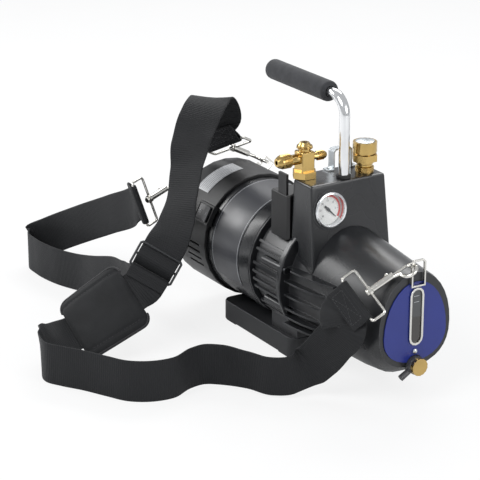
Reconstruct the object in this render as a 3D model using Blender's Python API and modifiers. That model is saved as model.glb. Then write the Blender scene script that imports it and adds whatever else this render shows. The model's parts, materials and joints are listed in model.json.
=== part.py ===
"""Portable rotary vane vacuum pump with a carrying handle and a shoulder strap.

Metres, +Z up. The origin is on the floor under the middle of the base, +X points to the oil case's
front and the strap lies on the -Y side.
"""
import math

import bmesh
import bpy
from mathutils import Matrix, Vector

# Clearances
GAP = 0.0003
PIN_CLEAR = 0.0003

# Base pad
BASE_LENGTH = 0.162
BASE_WIDTH = 0.104
BASE_HEIGHT = 0.026
BASE_CORNER = 0.012
BASE_EDGE = 0.003
CHANNEL_WIDTH = 0.064
CHANNEL_DEPTH = 0.007
ARCH_LENGTH = 0.100
ARCH_DEPTH = 0.002
BOSS_R = 0.012

# Motor
MOTOR_R = 0.0747
MOTOR_WALL = 0.0022
MOTOR_BACK = -0.120
MOTOR_FRONT = 0.018
BAND_WIDTH = 0.022
LABEL_LENGTH = 0.063
LABEL_STEP = 0.0008
AXIS_Z = BASE_HEIGHT + GAP + MOTOR_R
SHAFT_R = 0.006
SHAFT_BACK = -0.152
BORE_R = SHAFT_R + PIN_CLEAR
STATOR_DEPTH = 0.0345
ROTOR_R = MOTOR_R - MOTOR_WALL - STATOR_DEPTH
AIR_GAP = 0.0005
STACK_BACK = -0.085
STACK_FRONT = -0.015
WINDING_LENGTH = 0.019
WINDING_OUT = MOTOR_R - MOTOR_WALL - 0.0065
WINDING_IN = ROTOR_R + 0.005
BEARING_R = 0.016
BEARING_WIDTH = 0.009
BELL_DISC = 0.007
BELL_HUB_R = 0.021
BELL_HOLE_R = 0.009
BELL_LIP = 0.002
BELL_SHOULDER = 0.0012
BELL_HOLE_AT = MOTOR_R - 0.0297
FAN_R = MOTOR_R - 0.0147
FAN_HUB_R = 0.013
FAN_WIDTH = 0.021
FAN_PLATE = 0.002
FAN_BLADES = 9

# Rear cover, its switch and its gland
COVER_WALL = 0.0035
COVER_BACK = -0.162
COVER_FRONT = -0.078
COVER_ROUND = 0.006
COVER_R = MOTOR_R + GAP + COVER_WALL
SLOT_HEIGHT = 0.004
SLOT_PITCH = 0.011
SLOT_REACH = COVER_R - 0.0325
VENT_WIDTH = 0.0030
VENT_ANGLES = (183.0, 190.0, 197.0, 204.0)
VENT_BACK = -0.124
VENT_FRONT = -0.092
SWITCH_X = -0.0885
SWITCH_ANGLE = 152.0
SWITCH_LENGTH = 0.028
SWITCH_WIDTH = 0.019
SWITCH_RIM = 0.003
SWITCH_TOP = COVER_R + 0.0045
SWITCH_THROW = 14.0
GLAND_R = 0.0085
GLAND_FLANGE_R = 0.0115
GLAND_BORE_R = 0.0045
GLAND_AT = (0.055, -0.024)

# Centre housing
HOUSING_BACK = MOTOR_FRONT + GAP
HOUSING_FRONT = 0.084
GROOVE_R = MOTOR_R - 0.0092
GROOVE_WIDTH = 0.0067
DRUM_R = MOTOR_R - 0.0057
RIB_R = MOTOR_R - 0.0019
RIB_WIDTH = 0.003
RIB_ANGLES = (150, 158, 172, 180, 188, 196, 214, 222, 230)
LAND_R = MOTOR_R - 0.0003
CHAMBER_R = 0.040
CHAMBER_BACK = 0.034
FOOT_HALF = 0.045
COUPLING_R = 0.024
COUPLING_BACK = 0.045
COUPLING_LENGTH = 0.025
MOTOR_SHAFT_FRONT = 0.057

# Oil case
GASKET = 0.0008
FLANGE = 0.0042
FLANGE_R = MOTOR_R + 0.0028
CASE_SCREW_AT = FLANGE_R - 0.006
CASE_SCREW_R = 0.0022
CASE_SCREW_HEAD_R = 0.0042
CASE_SCREW_HEAD = 0.004
CASE_SCREW_GRIP = 0.008
SCREW_BOSS_R = 0.0048
SPOT_FACE = 0.0001
CASE_SCREW_ANGLES = (164, 205, 16, -25)
CASE_BACK = HOUSING_FRONT + 2 * GAP + GASKET + FLANGE
CASE_WALL = 0.004
CASE_FRONT_WALL = 0.006
EGG_POWER = 2.4
EGG_POINTS = 32
# Distance from the flange, half width, height of the widest place, top, bottom
CASE_SECTIONS = (
    (0.0000, 0.0635, 0.0950, 0.1710, 0.0285),
    (0.0354, 0.0605, 0.0880, 0.1710, 0.0285),
    (0.0754, 0.0580, 0.0900, 0.1650, 0.0285),
    (0.1154, 0.0555, 0.0920, 0.1595, 0.0285),
    (0.1404, 0.0530, 0.0900, 0.1575, 0.0310),
    (0.1534, 0.0508, 0.0900, 0.1570, 0.0380),
    (0.1604, 0.0484, 0.0900, 0.1560, 0.0440),
)
CASE_FRONT = CASE_BACK + CASE_SECTIONS[-1][0]
FIN_THICK = 0.0022
FIN_REACH = FLANGE_R - 0.0075
# Height of a fin and the place where it runs out
FIN_PLACES = ((0.1226, 0.171), (0.1070, 0.164), (0.0900, 0.160), (0.0740, 0.160), (0.0635, 0.157), (0.0545, 0.154))

# Vane pump inside the oil case
PUMP_R = 0.043
PUMP_BACK = HOUSING_FRONT + GAP
PUMP_FLOOR = 0.016
PUMP_CHAMBER = 0.050
PUMP_BORE_R = 0.030
VANE_ROTOR_R = 0.026
OFFSET = PUMP_BORE_R - VANE_ROTOR_R - GAP
VANE_THICK = 0.004
VANE_DEPTH = 0.016
END_PLATE = 0.010
OUTLET_FLAT = 0.0405
OUTLET_FLAT_HALF = 0.030
OUTLET_AT = 0.034
OUTLET_R = 0.003

# Gauge box on top
BOX_TOP = 0.226
BOX_LOW = 0.118
BOX_FRONT_TOP = 0.1152
BOX_LEAN = 0.1077
BOX_HALF_TOP = 0.0512
BOX_FLARE = 0.036
BOX_SIDE_BACK = 0.0795
BOX_MID_BACK = 0.066
BOX_MID_HALF = 0.030
BOX_WALL = 0.0035
BOX_EDGE = 0.003
GAUGE_Y = -0.027
GAUGE_Z = 0.195
GAUGE_R = 0.0198
GAUGE_BEZEL_R = 0.0213
GAUGE_RING_R = 0.0235
GAUGE_DEPTH = 0.022
GAUGE_BEZEL = 0.0022
GAUGE_RIM = 0.0012
DIAL_DEPTH = 0.0055
DIAL_THICK = 0.0008
POINTER_THICK = 0.0006
GAUGE_REST = -45.0
JUNCTION_BACK = 0.041
JUNCTION_TOP = 0.205
JUNCTION_LOW = 0.140
JUNCTION_HALF = 0.0575
JUNCTION_IN = 0.016
JUNCTION_WALL = 0.0025
JUNCTION_CHAMFER = 0.004
JUNCTION_BACK_OFF = 0.0015
TAB_TOP = 0.2295
TAB_LENGTH = 0.017

# Fittings, handle and bracket on the box
INTAKE = (0.0805, -0.0375)
INTAKE_HEX_R = 0.0150
INTAKE_HEX = 0.008
INTAKE_TOP = 0.268
INTAKE_SIDE_Z = 0.249
INTAKE_TIP = -0.0757
FLARE_R = 0.009
SIDE_FLARE_R = 0.008
SMALL_FLARE_R = 0.0052
SHANK_R = 0.0065
SHANK_LENGTH = 0.010
BALLAST = (0.100, 0.033)
BALLAST_NECK_R = 0.0105
BALLAST_NECK = 0.014
BALLAST_HEX_R = 0.0158
BALLAST_HEX = 0.008
BALLAST_CAP_R = 0.0142
BALLAST_CAP = 0.0145
BALLAST_CAP_TEETH = 16
BALLAST_STEM_R = 0.006
HANDLE = (0.1055, 0.0)
HANDLE_ROD_R = 0.00635
HANDLE_AXIS_Z = 0.321
HANDLE_BEND = 0.022
HANDLE_END = -0.045
COLLAR_R = 0.0085
COLLAR = 0.0033
GRIP_R = 0.0123
GRIP_FRONT = 0.0756
GRIP_BACK = -0.049
HANDLE_FOOT = 0.022
BRACKET_X = 0.0735
BRACKET_LENGTH = 0.011
BRACKET_NEAR = 0.004
BRACKET_FAR = 0.030
BRACKET_TOP = 0.252
BRACKET_THICK = 0.0018
RIVET_R = 0.0018

# Blue front panel, sight window and drain
PANEL = 0.0012
PANEL_HALF = 0.0425
PANEL_WIDEST = 0.084
PANEL_TOP = 0.1455
PANEL_LOW = 0.050
WINDOW_LOW = 0.070
WINDOW_TOP = 0.139
WINDOW_HALF = 0.0093
GLASS_HALF = 0.0072
GLASS_THICK = 0.0016
FRAME_THICK = 0.0014
SIGHT_HOLE_HALF = 0.0052
PANEL_SCREW_Z = 0.0625
DRAIN_Z = 0.0465
DRAIN_R = 0.0108
DRAIN_SHANK_R = 0.007
DRAIN_BODY = 0.0076
DRAIN_BORE_R = 0.0032
DRAIN_CAP_R = 0.0104
DRAIN_CAP = 0.0047
DRAIN_CAP_TEETH = 14
DRAIN_PLUG = 0.009
KNURL_DEPTH = 0.0005
PANEL_SCREW_R = 0.0015

# Strap hooks: shank along local x from the swivel, the bow on the local y side
BOW_AT = (0.0455, 0.010)
BOW_RING_R = 0.0095
BOW_WIRE_R = 0.0023
BARREL_R = 0.004
BARREL_BACK = 0.0012
BARREL_FRONT = 0.030
STEM_R = 0.0022
HEAD_R = 0.004
HEAD = 0.003
RING_BOSS_R = 0.005
RING_BOSS = 0.004
RING_WIRE_R = 0.0017
RING_LONG = 0.0585
RING_SHORT = 0.018
RING_CORNER = 0.003
BOLT_ROD_R = 0.0016
BOLT_TIP = 0.0480
BOLT_TAIL = 0.018
BOLT_TRAVEL = 0.007
KNOB_AT = 0.0245
KNOB_R = 0.0014
KNOB_REACH = 0.0072
EYE_STRIP = 0.0018
EYE_WIDTH = 0.003
EYE_SPAN = 0.0165
LUG_X = -0.1535
LUG_ANGLE = 47.0
LUG_RISE = 0.0075
LUG_FOOT = 0.006
LUG_CLEAR = 0.0025
LEG_IN_BOW = (0.0508, 0.010)
FRONT_EYE_LOW = 0.1405
FRONT_EYE_TOP = 0.172
FRONT_EYE_HALF = 0.0095
FRONT_EYE_CENTRE = (0.2543, -0.0086, 0.1640)

# Strap webbing, pad and slider
WEB_WIDTH = 0.050
WEB_THICK = 0.002
WEB_TAIL = 0.024
WEB_PITCH = 0.012
SLIDER_TAIL = 0.014
SLIDER_WIDTH = 0.058
SLIDER_HEIGHT = 0.034
SLIDER_BAR_R = 0.0016
SLIDER_AT = (-0.045, -0.165, 0.105)
SLIDER_ACROSS = (0.60, 0.65, -0.46)
SLIDER_DOWN = (-0.12, -0.49, -0.86)
PAD_WIDTH = 0.088
PAD_THICK = 0.013
PAD_SLOT_WIDTH = 0.054
PAD_SLOT = 0.0034

UP = Vector((0, 0, 1))
FORWARD = Vector((1, 0, 0))

# Surface colours, roughness and metallic value
BLACK_PAINT = ((0.018, 0.018, 0.020, 1), 0.38, 0.0)
BLACK_PLASTIC = ((0.012, 0.012, 0.013, 1), 0.50, 0.0)
SMOOTH_METAL = ((0.62, 0.62, 0.60, 1), 0.22, 1.0)
ZINC = ((0.60, 0.62, 0.63, 1), 0.35, 1.0)
STEEL = ((0.45, 0.45, 0.46, 1), 0.35, 1.0)
BRASS = ((0.72, 0.50, 0.20, 1), 0.25, 1.0)
CAST_GREY = ((0.20, 0.20, 0.21, 1), 0.55, 1.0)
COPPER = ((0.60, 0.24, 0.09, 1), 0.35, 1.0)
BLUE_ENAMEL = ((0.012, 0.022, 0.22, 1), 0.32, 0.0)
WHITE_ENAMEL = ((0.80, 0.80, 0.78, 1), 0.45, 0.0)
CLEAR = ((0.80, 0.85, 0.85, 1), 0.05, 0.0)
FOAM = ((0.020, 0.020, 0.021, 1), 0.90, 0.0)
WEBBING = ((0.010, 0.010, 0.011, 1), 0.80, 0.0)
GASKET_PAPER = ((0.10, 0.09, 0.08, 1), 0.80, 0.0)


def clear_scene():
    for obj in list(bpy.data.objects):
        bpy.data.objects.remove(obj, do_unlink=True)


def collection(name):
    found = bpy.data.collections.get(name) or bpy.data.collections.new(name)
    if found.name not in bpy.context.scene.collection.children:
        bpy.context.scene.collection.children.link(found)
    return found


clear_scene()
PARTS = collection("hvac_vacuum_pump")
CUTTERS = collection("cutters")


def placed(at, z_axis, x_axis=UP):
    """Matrix with local z along z_axis and local x as near as it can be to x_axis."""
    z = Vector(z_axis).normalized()
    x = Vector(x_axis)
    x = x - x.dot(z) * z
    if x.length < 1e-6:
        x = FORWARD - FORWARD.dot(z) * z
    x.normalize()
    matrix = Matrix((x, z.cross(x), z)).transposed().to_4x4()
    matrix.translation = Vector(at)
    return matrix


def on_axis(x):
    """Place on the motor axis with local z along +X and local x upwards."""
    return placed((x, 0, AXIS_Z), FORWARD)


def polar(angle, radius, x=0.0):
    """Point round the motor axis: angle in degrees from +Y towards +Z."""
    turn = math.radians(angle)
    return Vector((x, radius * math.cos(turn), AXIS_Z + radius * math.sin(turn)))


def paint(obj, finish):
    colour, roughness, metallic = finish
    mat = bpy.data.materials.new(obj.name)
    mat.use_nodes = True
    shader = mat.node_tree.nodes["Principled BSDF"]
    shader.inputs["Base Color"].default_value = colour
    shader.inputs["Roughness"].default_value = roughness
    shader.inputs["Metallic"].default_value = metallic
    obj.data.materials.clear()
    obj.data.materials.append(mat)
    return obj


def link(name, data, matrix):
    obj = bpy.data.objects.new(name, data)
    PARTS.objects.link(obj)
    obj.matrix_world = matrix
    return obj


def make(name, bm, matrix=Matrix()):
    """Object from a bmesh, its round sides shaded smooth."""
    bmesh.ops.recalc_face_normals(bm, faces=bm.faces)
    mesh = bpy.data.meshes.new(name)
    bm.to_mesh(mesh)
    bm.free()
    mesh.shade_smooth()
    mesh.set_sharp_from_angle(angle=math.radians(35))
    return link(name, mesh, matrix)


def add_box(bm, low, high, turn=Matrix()):
    low, high = Vector(low), Vector(high)
    fit = Matrix.Translation((low + high) / 2) @ Matrix.Diagonal((*(high - low), 1.0))
    bmesh.ops.create_cube(bm, size=1.0, matrix=turn @ fit)


def add_rod(bm, start, end, radius, sides=16, end_radius=None):
    start, end = Vector(start), Vector(end)
    far_radius = radius if end_radius is None else end_radius
    bmesh.ops.create_cone(bm, cap_ends=True, segments=sides, radius1=radius, radius2=far_radius,
                          depth=(end - start).length, matrix=placed((start + end) / 2, end - start))


def box(name, low, high, matrix=Matrix()):
    bm = bmesh.new()
    add_box(bm, low, high)
    return make(name, bm, matrix)


def rod(name, start, end, radius, sides=16, end_radius=None):
    bm = bmesh.new()
    add_rod(bm, start, end, radius, sides, end_radius)
    return make(name, bm)


def turned(name, profile, matrix, steps=40, ring=False):
    """Turned solid about local z: (radius, height) points run down the outer side."""
    points = [(radius, 0.0, height) for radius, height in profile]
    edges = [(i, i + 1) for i in range(len(points) - 1)]
    if ring:
        edges.append((len(points) - 1, 0))
    mesh = bpy.data.meshes.new(name)
    mesh.from_pydata(points, edges, [])
    obj = link(name, mesh, matrix)
    screw = obj.modifiers.new("turn", "SCREW")
    screw.steps = steps
    screw.render_steps = steps
    screw.use_merge_vertices = True
    screw.merge_threshold = 0.00001
    screw.use_smooth_shade = True
    return obj


def tube(name, points, radius, sides=2, cyclic=False, matrix=Matrix()):
    curve = bpy.data.curves.new(name, "CURVE")
    curve.dimensions = "3D"
    curve.bevel_depth = radius
    curve.bevel_resolution = sides
    curve.use_fill_caps = True
    curve.resolution_u = 1
    curve.render_resolution_u = 0
    spline = curve.splines.new("POLY")
    spline.points.add(len(points) - 1)
    for point, place in zip(spline.points, points):
        point.co = (*place, 1.0)
    spline.use_cyclic_u = cyclic
    return link(name, curve, matrix)


def plate(name, outline, thickness, matrix, holes=()):
    """Flat piece cut to an outline in local x and y, centred on local z."""
    curve = bpy.data.curves.new(name, "CURVE")
    curve.dimensions = "2D"
    curve.fill_mode = "BOTH"
    curve.extrude = thickness / 2
    for loop in (outline, *holes):
        spline = curve.splines.new("POLY")
        spline.points.add(len(loop) - 1)
        for point, (x, y) in zip(spline.points, loop):
            point.co = (x, y, 0.0, 1.0)
        spline.use_cyclic_u = True
    return link(name, curve, matrix)


def as_mesh(obj):
    """The curve object as a closed mesh object with the same name and place."""
    bpy.context.view_layer.update()
    mesh = bpy.data.meshes.new_from_object(obj.evaluated_get(bpy.context.evaluated_depsgraph_get()))
    bm = bmesh.new()
    bm.from_mesh(mesh)
    bmesh.ops.remove_doubles(bm, verts=bm.verts, dist=0.00001)
    bmesh.ops.recalc_face_normals(bm, faces=bm.faces)
    bm.to_mesh(mesh)
    bm.free()
    name, matrix = obj.name, obj.matrix_world.copy()
    bpy.data.objects.remove(obj, do_unlink=True)
    mesh.name = name
    return link(name, mesh, matrix)


def combine(target, operation, tools):
    for tool in tools:
        if tool.type == "CURVE":
            tool = as_mesh(tool)
        for owner in list(tool.users_collection):
            owner.objects.unlink(tool)
        CUTTERS.objects.link(tool)
        tool.hide_render = True
        tool.display_type = "WIRE"
        change = target.modifiers.new(tool.name, "BOOLEAN")
        change.operation = operation
        change.object = tool
        change.solver = "EXACT"
    return target


def cut(target, *tools):
    return combine(target, "DIFFERENCE", tools)


def join(target, *tools):
    return combine(target, "UNION", tools)


def bevel(obj, width, segments=2, angle=40.0):
    edge = obj.modifiers.new("edge", "BEVEL")
    edge.width = width
    edge.segments = segments
    edge.limit_method = "ANGLE"
    edge.angle_limit = math.radians(angle)
    return obj


def hold(child, parent):
    """Parent a piece to an empty without moving it."""
    bpy.context.view_layer.update()
    place = child.matrix_world.copy()
    child.parent = parent
    child.matrix_parent_inverse = parent.matrix_world.inverted()
    child.matrix_world = place
    return child


def empty(name, matrix):
    obj = bpy.data.objects.new(name, None)
    PARTS.objects.link(obj)
    obj.matrix_world = matrix
    obj.hide_render = True
    return obj


def stadium(half, low, top, count=6):
    """Slot outline in x (across) and y (height)."""
    points = []
    for centre, start in ((top - half, 0.0), (low + half, math.pi)):
        for k in range(count + 1):
            angle = start + math.pi * k / count
            points.append((half * math.cos(angle), centre + half * math.sin(angle)))
    return points


def egg_point(angle, half, widest, top, bottom, power=EGG_POWER):
    """Point of an egg-shaped section as (y, z)."""
    c, s = math.cos(angle), math.sin(angle)
    use = 2.0 if s >= 0 else power
    reach = top - widest if s >= 0 else widest - bottom
    y = half * math.copysign(abs(c) ** (2 / use), c)
    return y, widest + reach * math.copysign(abs(s) ** (2 / use), s)


def loft(name, rings):
    """Closed solid through rings that have the same number of points."""
    bm = bmesh.new()
    rows = [[bm.verts.new(point) for point in ring] for ring in rings]
    count = len(rows[0])
    for low, high in zip(rows, rows[1:]):
        for k in range(count):
            bm.faces.new((low[k], low[(k + 1) % count], high[(k + 1) % count], high[k]))
    bm.faces.new(rows[0][::-1])
    bm.faces.new(rows[-1])
    bmesh.ops.triangulate(bm, faces=[face for face in bm.faces if len(face.verts) == 4])
    return make(name, bm)


# Base

def base_pad():
    pad = plate("base_pad", rounded_rectangle(BASE_LENGTH, BASE_WIDTH, BASE_CORNER), BASE_HEIGHT,
                Matrix.Translation((0, 0, BASE_HEIGHT / 2)))
    pad = as_mesh(pad)
    bevel(pad, BASE_EDGE, 2, 60.0)
    low = -0.01
    reach = BASE_LENGTH
    channel = box("base_channel", (-reach, -CHANNEL_WIDTH / 2, low), (reach, CHANNEL_WIDTH / 2, CHANNEL_DEPTH))
    arch = box("base_arch", (-ARCH_LENGTH / 2, -reach, low), (ARCH_LENGTH / 2, reach, ARCH_DEPTH))
    boss = rod("base_boss", (0, 0, 0), (0, 0, CHANNEL_DEPTH + 0.002), BOSS_R, 24)
    cut(pad, channel, arch)
    join(pad, boss)
    return paint(pad, BLACK_PAINT)


def rounded_rectangle(length, width, corner, count=3):
    points = []
    for index, (sx, sy) in enumerate(((1, 1), (-1, 1), (-1, -1), (1, -1))):
        for k in range(count + 1):
            angle = math.pi / 2 * (index + k / count)
            points.append((sx * (length / 2 - corner) + corner * math.cos(angle),
                           sy * (width / 2 - corner) + corner * math.sin(angle)))
    return points


# Motor

def motor_shell():
    inner = MOTOR_R - MOTOR_WALL
    label_r = MOTOR_R - LABEL_STEP
    band = MOTOR_FRONT - BAND_WIDTH
    label_front = band - 0.002
    label_back = label_front - LABEL_LENGTH
    profile = [
        (MOTOR_R - 0.001, MOTOR_FRONT), (MOTOR_R, MOTOR_FRONT - 0.001), (MOTOR_R, band), (label_r - 0.0005, band),
        (label_r - 0.0005, label_front), (label_r, label_front), (label_r, label_back), (MOTOR_R, label_back),
        (MOTOR_R, MOTOR_BACK), (inner, MOTOR_BACK), (inner, MOTOR_FRONT),
    ]
    return paint(turned("motor_shell", profile, on_axis(0), 28, ring=True), BLACK_PAINT)


def rear_cover():
    wall = COVER_WALL
    inner = COVER_R - wall
    profile = [(COVER_R - 0.0008, COVER_FRONT), (COVER_R, COVER_FRONT - 0.0008)]
    for k in range(6):
        angle = math.pi / 2 * k / 5
        profile.append((COVER_R - COVER_ROUND * (1 - math.cos(angle)),
                        COVER_BACK + COVER_ROUND * (1 - math.sin(angle))))
    profile += [(0.0, COVER_BACK), (0.0, COVER_BACK + wall)]
    profile += [(inner - 0.004, COVER_BACK + wall), (inner, COVER_BACK + wall + 0.004), (inner, COVER_FRONT)]
    cover = turned("rear_cover", profile, on_axis(0), 28, ring=True)
    join(cover, switch_surround())
    inlets = bmesh.new()
    rows = int(SLOT_REACH // SLOT_PITCH)
    for row in range(-rows, rows + 1):
        height = row * SLOT_PITCH
        half = math.sqrt(SLOT_REACH ** 2 - height ** 2)
        if half > 2 * SLOT_HEIGHT:
            add_box(inlets, (COVER_BACK - 0.01, -half, AXIS_Z + height - SLOT_HEIGHT / 2),
                    (COVER_BACK + wall + 0.002, half, AXIS_Z + height + SLOT_HEIGHT / 2))
    vents = bmesh.new()
    for angle in [a for base in VENT_ANGLES for a in (base, 180.0 - base)]:
        turn = Matrix.Translation((0, 0, AXIS_Z)) @ Matrix.Rotation(math.radians(angle), 4, "X")
        add_box(vents, (VENT_BACK, inner - 0.002, -VENT_WIDTH / 2),
                (VENT_FRONT, COVER_R + 0.004, VENT_WIDTH / 2), turn)
    hole = rod("gland_hole", gland_point(COVER_BACK - 0.01), gland_point(COVER_BACK + 0.01), GLAND_R + PIN_CLEAR)
    notch = box("base_notch", (-BASE_LENGTH / 2 - 0.001, -BASE_WIDTH / 2 - 0.002, 0),
                (COVER_FRONT + 0.01, BASE_WIDTH / 2 + 0.002, BASE_HEIGHT + GAP))
    cut(cover, make("cover_inlets", inlets), make("cover_vents", vents), hole, notch,
        switch_pocket())
    return paint(cover, BLACK_PAINT)


def gland_point(x):
    return Vector((x, GLAND_AT[0], AXIS_Z + GLAND_AT[1]))


def switch_frame(radius):
    """Local x along the motor, local y round it, local z outwards, at a radius."""
    out = polar(SWITCH_ANGLE, 1.0) - polar(SWITCH_ANGLE, 0.0)
    return placed(polar(SWITCH_ANGLE, radius, SWITCH_X), out, FORWARD)


def switch_surround():
    half_l = SWITCH_LENGTH / 2 + SWITCH_RIM
    half_w = SWITCH_WIDTH / 2 + SWITCH_RIM
    block = box("switch_surround", (-half_l, -half_w, -0.009), (half_l, half_w, 0), switch_frame(SWITCH_TOP))
    inside = turned("switch_inside", [(COVER_R - 0.001, 0.05), (COVER_R - 0.001, -0.15), (0, -0.15), (0, 0.05)],
                    on_axis(0), 28, ring=True)
    return cut(block, inside)


def switch_pocket():
    half_l = SWITCH_LENGTH / 2 + 0.0007
    half_w = SWITCH_WIDTH / 2 + GAP
    return box("switch_pocket", (-half_l, -half_w, -0.0066), (half_l, half_w, 0.01), switch_frame(SWITCH_TOP))


def switch_rocker():
    half = SWITCH_LENGTH / 2 - 0.0004
    end_low, end_top, middle_top, depth = 0.0022, 0.0040, 0.0026, 0.0022
    outline = [(-half, end_low), (-half * 0.42, -depth), (half * 0.42, -depth), (half, end_low),
               (half, end_top), (half * 0.5, 0.0030), (0, middle_top), (-half * 0.5, 0.0030), (-half, end_top)]
    pivot = switch_frame(SWITCH_TOP - 0.0030)
    tilt = Matrix.Rotation(math.radians(-SWITCH_THROW / 2), 4, "Y")
    stand = Matrix.Rotation(math.radians(90), 4, "X")
    rocker = plate("switch_rocker", outline, SWITCH_WIDTH, pivot @ tilt @ stand)
    return paint(rocker, BLACK_PLASTIC)


def cord_gland():
    flange = 0.003
    profile = [(GLAND_R - 0.001, 0.009), (GLAND_R, 0.008), (GLAND_R, -GAP), (GLAND_FLANGE_R, -GAP),
               (GLAND_FLANGE_R, -GAP - flange + 0.001), (GLAND_FLANGE_R - 0.001, -GAP - flange),
               (GLAND_BORE_R, -GAP - flange), (GLAND_BORE_R, 0.009)]
    place = placed(gland_point(COVER_BACK), FORWARD)
    return paint(turned("cord_gland", profile, place, 20, ring=True), BLACK_PLASTIC)


def rear_bell():
    outer = MOTOR_R - MOTOR_WALL - GAP
    front = MOTOR_BACK + BELL_DISC
    hub_back = MOTOR_BACK - BELL_LIP
    hub_front = hub_back + BEARING_WIDTH + 0.002
    seat = hub_back + BELL_SHOULDER
    profile = [(outer, front), (outer, MOTOR_BACK), (BELL_HUB_R, MOTOR_BACK), (BELL_HUB_R, hub_back),
               (SHAFT_R + 0.002, hub_back), (SHAFT_R + 0.002, seat), (BEARING_R + PIN_CLEAR, seat),
               (BEARING_R + PIN_CLEAR, hub_front), (BELL_HUB_R, hub_front), (BELL_HUB_R, front)]
    bell = turned("rear_bell", profile, on_axis(0), 28, ring=True)
    holes = bmesh.new()
    for k in range(6):
        add_rod(holes, polar(60 * k, BELL_HOLE_AT, MOTOR_BACK - 0.01), polar(60 * k, BELL_HOLE_AT, front + 0.01),
                BELL_HOLE_R, 14)
    return paint(cut(bell, make("bell_holes", holes)), CAST_GREY)


def bearing_profile(back):
    front = back + BEARING_WIDTH
    edge = 0.0008
    return [(BEARING_R - edge, front), (BEARING_R, front - edge), (BEARING_R, back), (BORE_R, back), (BORE_R, front)]


def bearing_places():
    rear = MOTOR_BACK - BELL_LIP + BELL_SHOULDER + GAP
    front = HOUSING_BACK + 0.004
    return rear, front


def bearing(name, back):
    return paint(turned(name, bearing_profile(back), on_axis(0), 20, ring=True), STEEL)


def motor_shaft():
    shaft = turned("motor_shaft", [(0, MOTOR_SHAFT_FRONT), (SHAFT_R - 0.0005, MOTOR_SHAFT_FRONT),
                                   (SHAFT_R, MOTOR_SHAFT_FRONT - 0.0005), (SHAFT_R, SHAFT_BACK + 0.0005),
                                   (SHAFT_R - 0.0005, SHAFT_BACK), (0, SHAFT_BACK)], on_axis(0), 20)
    return paint(shaft, STEEL)


def rotor_core():
    profile = [(ROTOR_R, STACK_FRONT), (ROTOR_R, STACK_BACK), (BORE_R, STACK_BACK), (BORE_R, STACK_FRONT)]
    return paint(turned("rotor_core", profile, on_axis(0), 28, ring=True), STEEL)


def winding_profile(low, high):
    edge = 0.004
    return [(WINDING_OUT - edge, high), (WINDING_OUT, high - edge), (WINDING_OUT, low + edge),
            (WINDING_OUT - edge, low), (WINDING_IN, low), (WINDING_IN, high)]


def stator():
    """Laminated core with the windings' end turns; the coils run through the core's slots."""
    outer = MOTOR_R - MOTOR_WALL - GAP
    inner = ROTOR_R + AIR_GAP
    core = [(outer, STACK_FRONT), (outer, STACK_BACK), (inner, STACK_BACK), (inner, STACK_FRONT)]
    body = turned("stator", core, on_axis(0), 28, ring=True)
    front = winding_profile(STACK_FRONT - 0.005, STACK_FRONT + WINDING_LENGTH)
    back = winding_profile(STACK_BACK - WINDING_LENGTH, STACK_BACK + 0.005)
    return paint(join(body, turned("front_winding", front, on_axis(0), 28, ring=True),
                      turned("rear_winding", back, on_axis(0), 28, ring=True)), COPPER)


def cooling_fan():
    back = SHAFT_BACK + 0.002
    front = back + FAN_WIDTH
    plate_back = front - FAN_PLATE
    hub = turned("cooling_fan", [(FAN_R, front), (FAN_R, plate_back), (FAN_HUB_R, plate_back), (FAN_HUB_R, back),
                                 (BORE_R, back), (BORE_R, front)], on_axis(0), 28, ring=True)
    blades = bmesh.new()
    for k in range(FAN_BLADES):
        turn = Matrix.Translation((0, 0, AXIS_Z)) @ Matrix.Rotation(2 * math.pi * k / FAN_BLADES, 4, "X")
        add_box(blades, (back + 0.003, FAN_HUB_R - 0.001, -0.001), (plate_back + 0.001, FAN_R - 0.002, 0.001), turn)
    return paint(join(hub, make("fan_blades", blades)), BLACK_PLASTIC)


# Centre housing and coupling

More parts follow.
